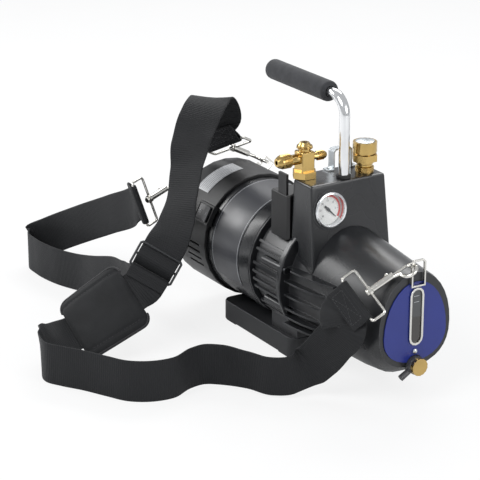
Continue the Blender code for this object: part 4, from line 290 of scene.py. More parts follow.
def blend(tree, share, low, high):
    """Colour between two, by a share from 0 to 1."""
    return add_node(tree, "ShaderNodeMix", {"data_type": "RGBA"}, {0: share, 6: low, 7: high}).outputs[2]


def mottled(tree, mask, colour, light=1.18, dark=0.84):
    """The colour, a little lighter and darker as the mask goes."""
    low = tuple(c * dark for c in colour[:3]) + (1.0,)
    high = tuple(min(1.0, c * light) for c in colour[:3]) + (1.0,)
    return blend(tree, mask, low, high)


def bumped(tree, height, depth, strength=1.0, edge=0.0):
    """Normal from a height map; an edge radius also softens the piece's sharp edges."""
    inputs = {"Height": height, "Distance": depth, "Strength": strength}
    if edge:
        inputs["Normal"] = add_node(tree, "ShaderNodeBevel", {"samples": 4}, {"Radius": edge}).outputs[0]
    return add_node(tree, "ShaderNodeBump", inputs=inputs).outputs[0]


def edge_mask(tree, radius):
    """1 on the piece's sharp edges and 0 on its open faces, broken up as by handling; it places the painted edge
    highlight and the glossier edges.
    """
    rounded = add_node(tree, "ShaderNodeBevel", {"samples": 6}, {"Radius": radius}).outputs[0]
    true = add_node(tree, "ShaderNodeNewGeometry").outputs["Normal"]
    same = add_node(tree, "ShaderNodeVectorMath", {"operation": "DOT_PRODUCT"}, {0: rounded, 1: true})
    edge = ranged(tree, same.outputs["Value"], 1.0, 0.0, 0.78, 0.995)
    edge_breakup = ranged(tree, noise_map(tree, 0.006, 4.0), 0.35, 1.0, 0.35, 0.6)
    return sums(tree, "MULTIPLY", edge, edge_breakup, clamp=True)


def worn(tree, mask, base, edge, share):
    """The base colour or value, going over to the edge's by that share of the mask."""
    part = sums(tree, "MULTIPLY", mask, share)
    if isinstance(edge, float):
        return add_node(tree, "ShaderNodeMix", inputs={0: part, 2: base, 3: edge}).outputs[0]
    return blend(tree, part, base, edge)


def set_shader(tree, shader, **sockets):
    """Sets or links the shader's sockets, given by name with _ for a space."""
    for name, value in sockets.items():
        socket = shader.inputs[name.replace("_", " ")]
        if isinstance(value, bpy.types.NodeSocket):
            tree.links.new(value, socket)
        else:
            socket.default_value = value


def coated_metal(name, colour, grain, rough=(0.26, 0.36), depth=0.00006, edge=0.0007):
    """Powder-coated casting: a satin film with a fine orange peel, glossier on its edges, where a paler colour is
    painted on as a highlight, broken up like wear.
    """
    mat, tree, shader = material(name)
    peel = noise_map(tree, grain, 3.0)
    cloud, uneven = clouds(tree, 0.03)
    edge_highlight_and_wear = edge_mask(tree, edge)
    # Base colour: the paler grey #8A8C90 on the edges is a painted highlight, broken up like handling wear; the edges
    # are also glossier.
    set_shader(tree, shader,
               Base_Color=worn(tree, edge_highlight_and_wear, mottled(tree, uneven, colour), linear("#8A8C90"), 0.45),
               Roughness=worn(tree, edge_highlight_and_wear, ranged(tree, cloud, *rough), 0.2, 0.8),
               Normal=bumped(tree, peel, depth, 0.8, edge), Specular_IOR_Level=0.5)
    return mat


def moulded_plastic(name, colour, grain=0.0007, rough=(0.42, 0.52), edge=0.0005):
    """Injection-moulded plastic: spark-eroded texture, darker and duller than the castings."""
    mat, tree, shader = material(name)
    spark = noise_map(tree, grain, 4.0, rough=0.7)
    cloud, uneven = clouds(tree, 0.02)
    set_shader(tree, shader, Base_Color=mottled(tree, uneven, colour, 1.12, 0.9),
               Roughness=ranged(tree, cloud, *rough), Normal=bumped(tree, spark, 0.00003, 0.7, edge))
    return mat


def plain_metal(name, colour, rough, size, depth=0.00002, stretch=EVEN):
    """Bare or plated metal: tool marks stretched along the cut, smeared by polishing."""
    mat, tree, shader = material(name)
    marks = noise_map(tree, size, 3.0, stretch, 0.6)
    uneven = clouds(tree, 0.012)[1]
    set_shader(tree, shader, Base_Color=mottled(tree, uneven, colour, 1.05, 0.92), Metallic=1.0,
               Roughness=ranged(tree, marks, *rough), Normal=bumped(tree, marks, depth, 0.6, 0.0003))
    return mat


def foam_rubber(name, colour, cell):
    """Foam sleeve: dull skin pitted by small cells."""
    mat, tree, shader = material(name)
    place = add_node(tree, "ShaderNodeTexCoord")
    cells = add_node(tree, "ShaderNodeTexVoronoi", inputs={
        "Vector": place.outputs["Object"], "Scale": 0.7 / cell})
    pits = ranged(tree, cells.outputs["Distance"], 0.0, 1.0, 0.05, 0.55)
    uneven = clouds(tree, 0.004, 3.0)[1]
    set_shader(tree, shader, Base_Color=mottled(tree, uneven, colour, 1.25, 0.8), Roughness=0.88,
               Normal=bumped(tree, pits, 0.00016, 0.8), Sheen_Weight=0.12, Sheen_Roughness=0.5)
    return mat


def woven_webbing(name, colour, rib):
    """Woven polypropylene webbing: ribs across the strap, yarn lines along it and a matt sheen; its colour varies at
    random and is darker in the grooves between ribs as painted shade.
    """
    mat, tree, shader = material(name)
    ribs = weave_wave(tree, "Y", rib, 0.6, 40.0)
    yarns = weave_wave(tree, "X", rib * 0.62, 0.4, 60.0)
    height = sums(tree, "MULTIPLY_ADD", sums(tree, "MULTIPLY", ribs, yarns), 0.4, ribs)
    # Colour mask: random tone from noise, plus painted shade that darkens the grooves and lightens the raised ribs.
    tone_and_groove_shade = sums(tree, "MULTIPLY_ADD", noise_map(tree, 0.018), 0.5, ranged(tree, height, 0.0, 0.5, 0.0, 1.2))
    set_shader(tree, shader, Base_Color=mottled(tree, tone_and_groove_shade, colour, 1.2, 0.72), Roughness=0.66,
               Normal=bumped(tree, height, 0.00022, 0.9), Sheen_Weight=0.05, Sheen_Roughness=0.4,
               Specular_IOR_Level=0.3)
    return mat


def woven_cloth(name, colour, pitch, rough=0.72):
    """Coated nylon cloth: fine plain weave, a matt face with a soft sheen."""
    mat, tree, shader = material(name)
    cross = sums(tree, "MAXIMUM", *(weave_wave(tree, direction, pitch, 0.5, 50.0) for direction in "XY"))
    uneven = clouds(tree, 0.014, 3.0)[1]
    set_shader(tree, shader, Base_Color=mottled(tree, uneven, colour, 1.25, 0.8), Roughness=rough,
               Normal=bumped(tree, cross, 0.00012, 0.8), Sheen_Weight=0.06, Sheen_Roughness=0.35,
               Specular_IOR_Level=0.35)
    return mat


def printed_film(name, colour, rough=(0.30, 0.40), grain=0.0016, depth=0.00001):
    """Printed and laminated polyester film or enamel: even colour, faint waviness."""
    mat, tree, shader = material(name)
    wave = noise_map(tree, grain)
    cloud, uneven = clouds(tree, 0.02)
    set_shader(tree, shader, Base_Color=mottled(tree, uneven, colour, 1.06, 0.95),
               Roughness=ranged(tree, cloud, *rough), Normal=bumped(tree, wave, depth, 0.6))
    return mat


def clear_cover(name):
    """Clear acrylic cover: only its gloss shows over the dial."""
    mat, tree, shader = material(name)
    set_shader(tree, shader, Base_Color=linear("#F4F6F6"), Alpha=0.05,
               Roughness=ranged(tree, noise_map(tree, 0.008), 0.03, 0.09), Specular_IOR_Level=0.5)
    return mat


def oil_window(name):
    """Sight glass over oil: deep grey, the painted shade of the unlit case behind the clear glass, a little warmer
    below the oil level.
    """
    mat, tree, shader = material(name)
    place = add_node(tree, "ShaderNodeTexCoord")
    height = add_node(tree, "ShaderNodeSeparateXYZ", inputs={"Vector": place.outputs["Object"]}).outputs[2]
    # Deep grey above and below the level: painted shade of the unlit case behind the glass; the warmer tone below is
    # the oil's.
    tone = blend(tree, ranged(tree, height, 0.0, 1.0, 0.103, 0.1045), linear("#2A2723"), linear("#3A3C3D"))
    set_shader(tree, shader, Base_Color=tone, Roughness=ranged(tree, noise_map(tree, 0.006), 0.05, 0.12),
               Coat_Weight=0.6, Coat_Roughness=0.04)
    return mat


def fibre_board(name, colour):
    """Gasket paper and pressed phenolic: dull, fibrous."""
    mat, tree, shader = material(name)
    fibres = noise_map(tree, 0.0012, 5.0, (1.0, 4.0, 1.0), 0.7)
    set_shader(tree, shader, Base_Color=mottled(tree, ranged(tree, fibres, 0.0, 1.0), colour, 1.3, 0.7),
               Roughness=0.8, Normal=bumped(tree, fibres, 0.00008, 0.7))
    return mat


FINISHES = {}


def finish(name):
    """The shared material of that name, made on first use."""
    if name in FINISHES:
        return FINISHES[name]
    colours, sizes = bpy.context.scene.pump_colours, bpy.context.scene.pump_sizes
    grain = sizes.coat_grain
    makers = {
        # Black powder coat on cast aluminium: satin, fine orange peel, edges that catch the light
        "powder_coat": (coated_metal, "powder_coated_aluminium", colours.coating, grain),
        # The same coat on the flat walls of the box, where it flows out smoother
        "smooth_coat": (coated_metal, "powder_coated_box", colours.coating, grain, (0.24, 0.32), 0.00004),
        # Sprayed enamel on the drawn steel shell: glossier, with a long soft wave
        "motor_enamel": (coated_metal, "enamelled_steel", colours.motor, 0.0024, (0.22, 0.30), 0.00003),
        # Coated cast base: the dullest and roughest of the castings
        "base_coat": (coated_metal, "coated_base", colours.coating, 0.0014, (0.42, 0.54), 0.00008, 0.001),
        # Spark-textured ABS of the covers: even black with broad, weak highlights
        "moulded": (moulded_plastic, "moulded_abs", colours.moulded),
        # Smooth nylon of the rocker and the drain: a tighter highlight than the covers
        "glossy": (moulded_plastic, "polished_nylon", linear("#3A3A3C"), 0.0012, (0.24, 0.32)),
        # Moulded rubber collar: dull, almost no highlight
        "rubber": (moulded_plastic, "moulded_rubber", linear("#161617"), 0.0010, (0.62, 0.72)),
        # Blackened steel slider: dark with a tight highlight along its bars
        "slider": (moulded_plastic, "blackened_steel", linear("#2E2F31"), 0.0010, (0.24, 0.34), 0.0004),
        # Nickel plate over die-cast zinc: warm white metal with a slightly lumpy skin
        "nickel": (plain_metal, "nickel_plated_zinc", linear("#DAD8D2"), (0.14, 0.26), 0.0020, 0.00004),
        # Bright zinc plate on bent steel: bluish, cloudy grey
        "zinc": (plain_metal, "zinc_plated_steel", linear("#C6CBCE"), (0.26, 0.40), 0.0022, 0.00003),
        # Polished rod: long clear reflections with fine draw lines along it
        "polished": (plain_metal, "polished_aluminium", linear("#E2E3E4"), (0.10, 0.20), 0.0009, 0.00002,
                     (1.0, 1.0, 0.05)),
        # Chrome of the gauge's bezel: almost a mirror
        "chrome": (plain_metal, "chromed_bezel", linear("#DFE1E3"), (0.08, 0.14), 0.0030),
        # Turned brass: yellow metal with rings of tool marks about 0.8 mm apart
        "brass": (plain_metal, "turned_brass", colours.brass, (0.16, 0.28), 0.0008, 0.00003, (0.3, 0.3, 2.5)),
        # Ground and turned steel inside the motor
        "steel": (plain_metal, "turned_steel", linear("#A9ABAE"), (0.22, 0.36), 0.0007, 0.00002,
                  (3.0, 0.4, 0.4)),
        # Black oxide screws: dark steel with a thin oily shine
        "oxide": (plain_metal, "oxide_black_steel", linear("#3B3C3E"), (0.30, 0.44), 0.0012),
        # Raw die casting: pale grey, matt, with sandy flow marks
        "casting": (plain_metal, "raw_aluminium_casting", linear("#8E9092"), (0.42, 0.60), 0.0024, 0.00012),
        # Enamelled magnet wire: orange brown strands of about 1 mm
        "winding": (plain_metal, "enamelled_copper_wire", linear("#B5652E"), (0.26, 0.40), 0.0011, 0.0002,
                    (0.3, 3.0, 3.0)),
        # Foam sleeve: matt dark grey; its cells are drawn at 0.9 mm, coarser than real, so that they show
        "foam": (foam_rubber, "foam_sleeve", linear("#303134"), sizes.foam_cell),
        # Webbing: ribs across the strap every 2.6 mm, painted shade in the grooves between them, and a weak sheen
        "webbing": (woven_webbing, "woven_polypropylene", colours.webbing, sizes.web_rib),
        # Pad cloth: plain weave drawn at 1.1 mm, coarser than real, so that it shows
        "pad": (woven_cloth, "coated_nylon_cloth", colours.pad, 0.0011),
        # Binding tape round the pad: coarser weave, a little glossier than the cloth
        "tape": (woven_cloth, "binding_tape", linear("#222224"), 0.0015, 0.5),
        # Bonded nylon thread: slightly paler than the cloth it sews
        "thread": (moulded_plastic, "bonded_nylon_thread", linear("#303033"), 0.0005, (0.4, 0.5), 0.0),
        # Blue panel: printed polyester under a satin laminate
        "panel": (printed_film, "printed_blue_panel", colours.panel, (0.30, 0.38)),
        # Motor label: laminated film, faintly wavy over the shell; its dark grey is partly painted sheen over a
        # near-black film
        "label": (printed_film, "laminated_grey_label", colours.label, (0.30, 0.42), 0.004, 0.00003),
        # Cover plate: pale metallised film
        "plate": (printed_film, "foil_plate", colours.plate, (0.24, 0.34), 0.004, 0.00002),
        # Screen-printed inks: flat colour, matt
        "pale_ink": (printed_film, "pale_ink", linear("#B9BBBE"), (0.4, 0.5)),
        "dark_ink": (printed_film, "dark_ink", linear("#202124"), (0.4, 0.5)),
        "red_ink": (printed_film, "red_dial_ink", colours.arc, (0.36, 0.46)),
        "green_ink": (printed_film, "green_dial_ink", colours.low_arc, (0.36, 0.46)),
        # Dial: white stove enamel on sheet metal
        "dial": (printed_film, "white_dial_enamel", linear("#F3F3F0"), (0.36, 0.46)),
        # Gauge cover: clear acrylic, seen only by its gloss
        "lens": (clear_cover, "clear_acrylic"),
        # Sight glass: glossy, its deep grey a painted shade of the unlit inside behind it, with the oil level showing
        # faintly
        "window": (oil_window, "sight_glass_over_oil"),
        # Gasket paper: brown grey fibres
        "paper": (fibre_board, "gasket_paper", linear("#4A4540")),
        # Vanes: pressed phenolic, dark brown with short fibres
        "phenolic": (fibre_board, "pressed_phenolic", linear("#4B2F20")),
    }
    maker, *values = makers[name]
    FINISHES[name] = maker(*values)
    return FINISHES[name]


# Work on objects

def pick(*objects):
    """Selects only these objects; the first becomes the active one."""
    bpy.ops.object.select_all(action="DESELECT")
    for obj in objects:
        obj.select_set(True)
    bpy.context.view_layer.objects.active = objects[0]


def settle(obj):
    """Moves the object's place, turn and scale into its mesh."""
    pick(obj)
    bpy.ops.object.transform_apply(location=True, rotation=True, scale=True)
    return obj


def put(obj, matrix):
    obj.matrix_world = matrix
    return settle(obj)


def smooth(obj, angle=40.0):
    pick(obj)
    bpy.ops.object.shade_smooth_by_angle(angle=math.radians(angle))
    return obj


def modified(obj, name, kind, **settings):
    """Applies a modifier with those settings."""
    pick(obj)
    modifier = obj.modifiers.new(name, kind)
    for key, value in settings.items():
        setattr(modifier, key, value)
    bpy.ops.object.modifier_apply(modifier=modifier.name)
    return obj


def merge_doubles(obj, distance):
    pick(obj)
    bpy.ops.object.mode_set(mode="EDIT")
    bpy.ops.mesh.select_all(action="SELECT")
    bpy.ops.mesh.remove_doubles(threshold=distance)
    bpy.ops.object.mode_set(mode="OBJECT")
    return obj


def block(name, scale, location=(0.0, 0.0, 0.0), turn=0.0):
    """Plain box to start a piece or a cut from; turn is about z, in degrees."""
    bpy.ops.mesh.primitive_cube_add(size=1.0, scale=scale, location=location, rotation=(0, 0, math.radians(turn)))
    box = bpy.context.active_object
    box.name = name
    return settle(box)


def cut(obj, blade):
    """Cuts the blade out of the object and removes it."""
    modified(obj, "cut", "BOOLEAN", object=blade, solver="EXACT")
    bpy.data.objects.remove(blade, do_unlink=True)
    return obj


def joined(name, pieces):
    pick(*pieces)
    bpy.ops.object.join()
    whole = bpy.context.active_object
    whole.name = name
    return whole


def mesh_object(name, bm):
    """Object with the built mesh, its faces turned outwards."""
    bmesh.ops.recalc_face_normals(bm, faces=bm.faces)
    mesh = bpy.data.meshes.new(name)
    bm.to_mesh(mesh)
    bm.free()
    obj = bpy.data.objects.new(name, mesh)
    bpy.context.scene.collection.objects.link(obj)
    return obj


def dress(obj, finish_name, body):
    """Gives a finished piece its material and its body."""
    obj.data.materials.clear()
    obj.data.materials.append(finish(finish_name))
    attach(obj, body)
    return obj


def skin(node, finish_name, angle=40.0):
    """Smooth-shaded copy of a CAD node that stands for it."""
    piece = bpy.data.objects.new("skin_" + node, frame["nodes"][node].data.copy())
    bpy.context.scene.collection.objects.link(piece)
    pick(piece)
    bpy.ops.mesh.customdata_custom_splitnormals_clear()
    merge_doubles(piece, 0.000002)
    smooth(piece, angle)
    modified(piece, "face_weights", "WEIGHTED_NORMAL", weight=100, keep_sharp=True)
    dress(piece, finish_name, BODY_OF[node])
    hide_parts(node)
    return piece


def skins(**finishes):
    for node, finish_name in finishes.items():
        skin(node, finish_name)


def coat(node, finish_name):
    """New material on a CAD node that keeps its own mesh."""
    piece = frame["nodes"][node]
    piece.data.materials.clear()
    piece.data.materials.append(finish(finish_name))


def spun(name, corners, turn, steps, axis_at=(0.0, 0.0, 0.0), axis=(0.0, 0.0, 1.0)):
    """Solid that a four-cornered section sweeps as it is spun by an angle in degrees."""
    bpy.ops.mesh.primitive_plane_add(size=0.01)
    obj = bpy.context.active_object
    obj.name = name
    order = [obj.data.vertices[i] for i in obj.data.polygons[0].vertices]
    for vertex, corner in zip(order, corners):
        vertex.co = corner
    pick(obj)
    bpy.ops.object.mode_set(mode="EDIT")
    bpy.ops.mesh.select_all(action="SELECT")
    bpy.ops.mesh.spin(steps=steps, angle=-math.radians(turn), center=axis_at, axis=axis, dupli=False)
    bpy.ops.mesh.select_all(action="SELECT")
    bpy.ops.mesh.remove_doubles(threshold=0.0000005)
    bpy.ops.mesh.select_all(action="DESELECT")
    bpy.ops.mesh.select_interior_faces()
    bpy.ops.mesh.delete(type="ONLY_FACE")
    bpy.ops.mesh.select_all(action="SELECT")
    bpy.ops.mesh.normals_make_consistent(inside=False)
    bpy.ops.object.mode_set(mode="OBJECT")
    return smooth(obj, 30.0)


def wrapped(name, radius, thick, along, start, end, finish_name):
    """Film round the motor axis: x range, and angles in degrees from +Y towards +Z."""
    c, s = math.cos(math.radians(start)), math.sin(math.radians(start))
    corners = [(x, r * c, AXIS_Z + r * s) for x, r in (
        (along[0], radius), (along[1], radius), (along[1], radius + thick), (along[0], radius + thick))]
    steps = max(1, round(abs(end - start) / 3.0))
    film = spun(name, corners, end - start, steps, (0.0, 0.0, AXIS_Z), (1.0, 0.0, 0.0))
    return dress(film, finish_name, "pump")


def dial_matrix():
    """Dial frame: local x to the reader's right, local y up, local z out of the dial."""
    up = (Vector((0, 0, 1)) - GAUGE_OUT * GAUGE_OUT.z).normalized()
    matrix = Matrix((up.cross(GAUGE_OUT), up, GAUGE_OUT)).transposed().to_4x4()
    matrix.translation = GAUGE_AT + GAUGE_OUT * DIAL_FRONT
    return matrix


def clock_point(clock, radius):
    """Place on the dial; clock angles run clockwise from its top, in degrees."""
    angle = math.radians(90.0 - clock)
    return radius * math.cos(angle), radius * math.sin(angle)


# Webbing

def hermite(a, b, leave, reach, t):
    return (a * (2 * t ** 3 - 3 * t ** 2 + 1) + leave * (t ** 3 - 2 * t ** 2 + t) + b * (3 * t ** 2 - 2 * t ** 3)
            + reach * (t ** 3 - t ** 2))


def slope(points, lengths, i):
    """Direction of the curve at a station, per unit of length."""
    if i == 0:
        return (points[1] - points[0]) / lengths[0]
    if i == len(points) - 1:
        return (points[-1] - points[-2]) / lengths[-1]
    before, after = lengths[i - 1], lengths[i]
    arrive = (points[i] - points[i - 1]) / before
    depart = (points[i + 1] - points[i]) / after
    return (arrive * after + depart * before) / (before + after)


def strap_rows(stations, pitch=0.004):
    """Rows of (place, across, out, length so far) along a smooth curve through the stations."""
    places = [Vector(item[0]) for item in stations]
    sides = [Vector(item[1]).normalized() for item in stations]
    lengths = [(b - a).length for a, b in zip(places, places[1:])]
    line = []
    for i, length in enumerate(lengths):
        steps = max(1, math.ceil(length / pitch))
        leave, reach = slope(places, lengths, i) * length, slope(places, lengths, i + 1) * length
        for k in range(steps):
            t = k / steps
            ease = t * t * (3 - 2 * t)
            line.append((hermite(places[i], places[i + 1], leave, reach, t), sides[i].lerp(sides[i + 1], ease)))
    line.append((places[-1], sides[-1]))
    rows, run = [], 0.0
    for i, (place, across) in enumerate(line):
        ahead = (line[min(i + 1, len(line) - 1)][0] - line[max(i - 1, 0)][0]).normalized()
        across = (across - across.dot(ahead) * ahead).normalized()
        if i:
            run += (place - line[i - 1][0]).length
        rows.append((place, across, across.cross(ahead), run))
    return rows


def loop_end(bar, across, leave, bar_r, side=1, tail=WEB_TAIL):
    """Webbing end: from its sewn tail round a bar to the side where the strap leaves."""
    bar, across, leave = Vector(bar), Vector(across).normalized(), Vector(leave)
    leave = (leave - leave.dot(across) * across).normalized()
    out = side * across.cross(leave)
    layer = WEB_LAYER / 2
    reach = bar_r + WEB_CLEAR
    stations = [(bar + leave * tail - out * layer, across), (bar + leave * tail * 0.55 - out * layer * 1.15, across)]
    for degrees in (-90, -135, 180, 135, 90):
        angle = math.radians(degrees)
        stations.append((bar + leave * (reach * math.cos(angle)) + out * (reach * math.sin(angle)), across))
    stations.append((bar + leave * tail * 0.55 + out * layer * 1.15, across))
    stations.append((bar + leave * tail + out * layer, across))
    return stations


def slider_point(down_by, out_by):
    return SLIDER_AT + SLIDER_DOWN * down_by + SLIDER_OUT * out_by


def ring_end(key, nearest, side=1):
    """Webbing end round a hook's ring, towards the nearest station."""
    bar, long_side = RING_BARS[key]
    return loop_end(bar, long_side, Vector(nearest[0]) - Vector(bar), RING_WIRE_R, side)


def rear_stations():
    beside = SLIDER_BAR_R + 0.0016
    behind = beside + 0.0026
    slider = [(-SLIDER_HALF, -beside), (0, beside), (SLIDER_HALF, -behind), (SLIDER_HALF + 0.009, -behind - 0.001)]
    stations = ring_end("far", REAR_OVER[0], -1) + REAR_OVER
    stations += [(slider_point(down_by, out_by), SLIDER_ACROSS) for down_by, out_by in slider]
    return stations + REAR_FLOOR + ring_end("near", REAR_FLOOR[-1])[::-1]


def front_stations():
    low_bar = slider_point(SLIDER_HALF, 0)
    stations = ring_end("front", FRONT_OVER[0]) + FRONT_OVER
    stations += [pad_place(share) for share in (0, 0.35, 0.7, 1.0)]
    return stations + loop_end(low_bar, SLIDER_ACROSS, pad_place(1.0)[0] - low_bar, SLIDER_BAR_R, 1, 0.014)[::-1]


def cloth_mesh(name, rings, texture, hollow=False):
    """Closed skin through rings of equal count, with the weave's own map in metres.

    A hollow one goes back to its first ring, and others have both ends capped.
    """
    bm = bmesh.new()
    weave = bm.loops.layers.uv.new("weave")
    rows = [[bm.verts.new(point) for point in ring] for ring in rings]
    count = len(rows[0])
    for i in range(len(rows) if hollow else len(rows) - 1):
        j = (i + 1) % len(rows)
        for k in range(count):
            n = (k + 1) % count
            face = bm.faces.new((rows[i][k], rows[i][n], rows[j][n], rows[j][k]))
            for loop, (row, column) in zip(face.loops, ((i, k), (i, n), (j, n), (j, k))):
                loop[weave].uv = texture(row, column)
    if hollow:
        bmesh.ops.remove_doubles(bm, verts=bm.verts, dist=0.000001)
    else:
        bm.faces.new(rows[0][::-1])
        bm.faces.new(rows[-1])
    return mesh_object(name, bm)


def webbing(name, rows, width, thick):
    """Strap swept along the rows, its selvedges a little thinner than its middle."""
    rings = []
    for place, across, out, run in rows:
        upper = []
        for share in WEB_COLUMNS:
            rise = thick / 2 * (0.35 if abs(share) == 1.0 else 0.8 if abs(share) > 0.98 else 1.0)
            upper.append((share * width / 2, rise))
        loop = upper + [(x, -z) for x, z in reversed(upper)]
        rings.append([place + across * x + out * z for x, z in loop])
    last = 2 * len(WEB_COLUMNS) - 1

    def texture(row, column):
        column = min(column, last - column)
        return (WEB_COLUMNS[column] + 1.0) * width / 2, rows[row][3]

    return smooth(cloth_mesh(name, rings, texture), 50.0)


def stitches(name, places, sizes):
    """Rows of sewn stitches: small bars with tapered ends, sunk a little in the cloth."""
    bm = bmesh.new()
    for place, along, out in places:
        side = along.cross(out).normalized()
        rows = []
        for share, wide in ((-0.5, 0.35), (-0.36, 1.0), (0.36, 1.0), (0.5, 0.35)):
            ring = []
            for k in range(6):
                angle = math.pi * k / 3
                ring.append(bm.verts.new(place + along * (share * sizes.stitch)
                                         + side * (sizes.thread * wide * math.cos(angle))
                                         + out * (sizes.thread * wide * math.sin(angle))))
            rows.append(ring)
        for low, high in zip(rows, rows[1:]):
            for k in range(6):
                bm.faces.new((low[k], low[(k + 1) % 6], high[(k + 1) % 6], high[k]))
        bm.faces.new(rows[0][::-1])
        bm.faces.new(rows[-1])
    return dress(smooth(mesh_object(name, bm), 60.0), "thread", "pump")


def seam_box(rows, start, end, width, thick):
    """Stitch places of a sewn box with its cross on the strap between two lengths."""
    def at(length, x):
        i = min(range(len(rows)), key=lambda n: abs(rows[n][3] - length))
        ahead = (rows[min(i + 1, len(rows) - 1)][0] - rows[max(i - 1, 0)][0]).normalized()
        return rows[i][0] + ahead * (length - rows[i][3]) + rows[i][1] * x, rows[i][2]

    half = width / 2 - SEAM_INSET
    corners = [(start, -half), (start, half), (end, half), (end, -half), (start, -half), (end, half)]
    places = []
    for (l0, x0), (l1, x1) in [*zip(corners, corners[1:]), ((end, -half), (start, half))]:
        count = max(1, round(math.hypot(l1 - l0, x1 - x0) / SEAM_PITCH))
        along = (at(l1, x1)[0] - at(l0, x0)[0]).normalized()
        for k in range(count):
            share = (k + 0.5) / count
            spot, out = at(l0 + (l1 - l0) * share, x0 + (x1 - x0) * share)
            places += [(spot + out * (sign * thick / 2), along, out * sign) for sign in (1, -1)]
    return places


# Pad

def pad_place(share):
    """Middle of the pad at a share of its length, and its width direction."""
    inside = min(max(share, 0.0), 1.0)
    place = PAD_LOW[0].lerp(PAD_HIGH[0], inside) + (PAD_HIGH[0] - PAD_LOW[0]) * (share - inside)
    return place, PAD_LOW[1].lerp(PAD_HIGH[1], inside)


def pad_axes(share):
    place, across = pad_place(share)
    ahead = (PAD_HIGH[0] - PAD_LOW[0]).normalized()
    across = (across - across.dot(ahead) * ahead).normalized()
    return place, across, across.cross(ahead), ahead


def pad_half(distance, half):
    """Half width of the pad's outline at a distance from its nearer end."""
    if distance >= PAD_CORNER:
        return half
    return half - PAD_CORNER + math.sqrt(max(0.0, PAD_CORNER ** 2 - (PAD_CORNER - distance) ** 2))


class PUMP_OT_castings(bpy.types.Operator):
    """Finish the black castings and the base"""
    bl_idname = "pump.castings"
    bl_label = "Castings"

    def execute(self, context):
        skins(oil_case="powder_coat", centre_housing="powder_coat", gauge_box="smooth_coat", base_pad="base_coat",
              case_gasket="paper")
        for number in range(1, 5):
            skin(f"flange_screw_{number}", "oxide")
        return {"FINISHED"}


class PUMP_OT_motor(bpy.types.Operator):
    """Finish the motor: shell, rear cover, switch, gland, plain labels and cover screws"""
    bl_idname = "pump.motor"
    bl_label = "Motor"

    def execute(self, context):
        skins(motor_shell="motor_enamel", rear_cover="moulded", switch_rocker="glossy", cord_gland="moulded",
              junction_box="moulded")
        wrapped("motor_label", MOTOR_LABEL_R + FILM_LIFT, FILM_THICK, MOTOR_LABEL, -8.0, 206.0, "label")
        for name, x in (("label_rule_rear", MOTOR_LABEL[0] + 0.0022), ("label_rule_front", MOTOR_LABEL[1] - 0.0028)):
            wrapped(name, MOTOR_LABEL_R + FILM_THICK, INK_THICK, (x, x + 0.0006), -6.0, 204.0, "pale_ink")
        wrapped("cover_plate", COVER_R + FILM_LIFT, FILM_THICK, COVER_PLATE, 93.0, 135.0, "plate")
        rules = []
        for k in range(7):
            x = COVER_PLATE[0] + 0.0016 + k * (COVER_PLATE[1] - COVER_PLATE[0] - 0.0036) / 6
            rules.append(wrapped(f"plate_rule_{k}", COVER_R + FILM_THICK, INK_THICK, (x, x + 0.0004), 94.5, 133.5,
                                 "dark_ink"))
        joined("plate_rules", rules)
        self.marks()
        self.cover_screws(context.scene.pump_sizes.screw_head)
        return {"FINISHED"}

    def marks(self):
        """On and off marks on the rocker, which tip with it."""
        face = Matrix((SWITCH_ALONG, SWITCH_UP, SWITCH_OUT)).transposed().to_4x4()
        face.translation = SWITCH_PIVOT
        tilt = Matrix.Rotation(math.radians(SWITCH_TILT), 4, SWITCH_UP)
        place = Matrix.Translation(SWITCH_PIVOT) @ tilt @ Matrix.Translation(-SWITCH_PIVOT) @ face
        corners = [(0.0020, 0, -0.00015), (0.0024, 0, -0.00015), (0.0024, 0, 0.00015), (0.0020, 0, 0.00015)]
        ring = spun("switch_off_mark", corners, 360.0, 28)
        put(ring, place @ Matrix.Translation((-SWITCH_MARK_AT, 0, 0.00355)))
        bar = block("switch_on_mark", (0.00045, 0.0042, 0.0003))
        modified(bar, "edges", "BEVEL", width=0.0001, segments=2)
        put(bar, place @ Matrix.Translation((SWITCH_MARK_AT, 0, 0.0036)))
        for mark in (ring, bar):
            dress(smooth(mark), "pale_ink", "switch")

    def cover_screws(self, radius):
        """Domed heads with a cross recess, on a circle round the motor axis."""
        bpy.ops.mesh.primitive_cylinder_add(vertices=24, radius=radius, depth=0.0020)
        head = bpy.context.active_object
        head.name = "cover_screw_1"
        modified(head, "dome", "BEVEL", width=0.0008, segments=3, limit_method="ANGLE")
        for turn in (0.0, 90.0):
            cut(head, block("recess", (radius * 1.1, 0.0009, 0.0016), (0, 0, 0.0010), turn))
        heads = [head]
        for k in range(3):
            twin = head.copy()
            twin.data = head.data.copy()
            twin.name = f"cover_screw_{k + 2}"
            bpy.context.scene.collection.objects.link(twin)
            heads.append(twin)
        for k, piece in enumerate(heads):
            angle = math.radians(45 + 90 * k)
            place = Matrix.Rotation(math.radians(-90), 4, "Y")
            place.translation = (COVER_BACK - 0.0010, COVER_SCREW_CIRCLE * math.cos(angle),
                                 AXIS_Z + COVER_SCREW_CIRCLE * math.sin(angle))
            dress(smooth(put(piece, place), 35.0), "oxide", "pump")


class PUMP_OT_inside(bpy.types.Operator):
    """Finish the motor's and the vane pump's inner pieces"""
    bl_idname = "pump.inside"
    bl_label = "Inner pieces"

    def execute(self, context):
        finishes = {
            "casting": ("rear_bell", "shaft_coupling", "pump_cylinder", "pump_end_plate"),
            "steel": ("rear_bearing", "front_bearing", "motor_shaft", "rotor_core", "pump_rotor"),
            "winding": ("stator",),
            "moulded": ("cooling_fan",),
            "phenolic": ("vane_near", "vane_far"),
        }
        for finish_name, nodes in finishes.items():
            for node in nodes:
                coat(node, finish_name)
        return {"FINISHED"}


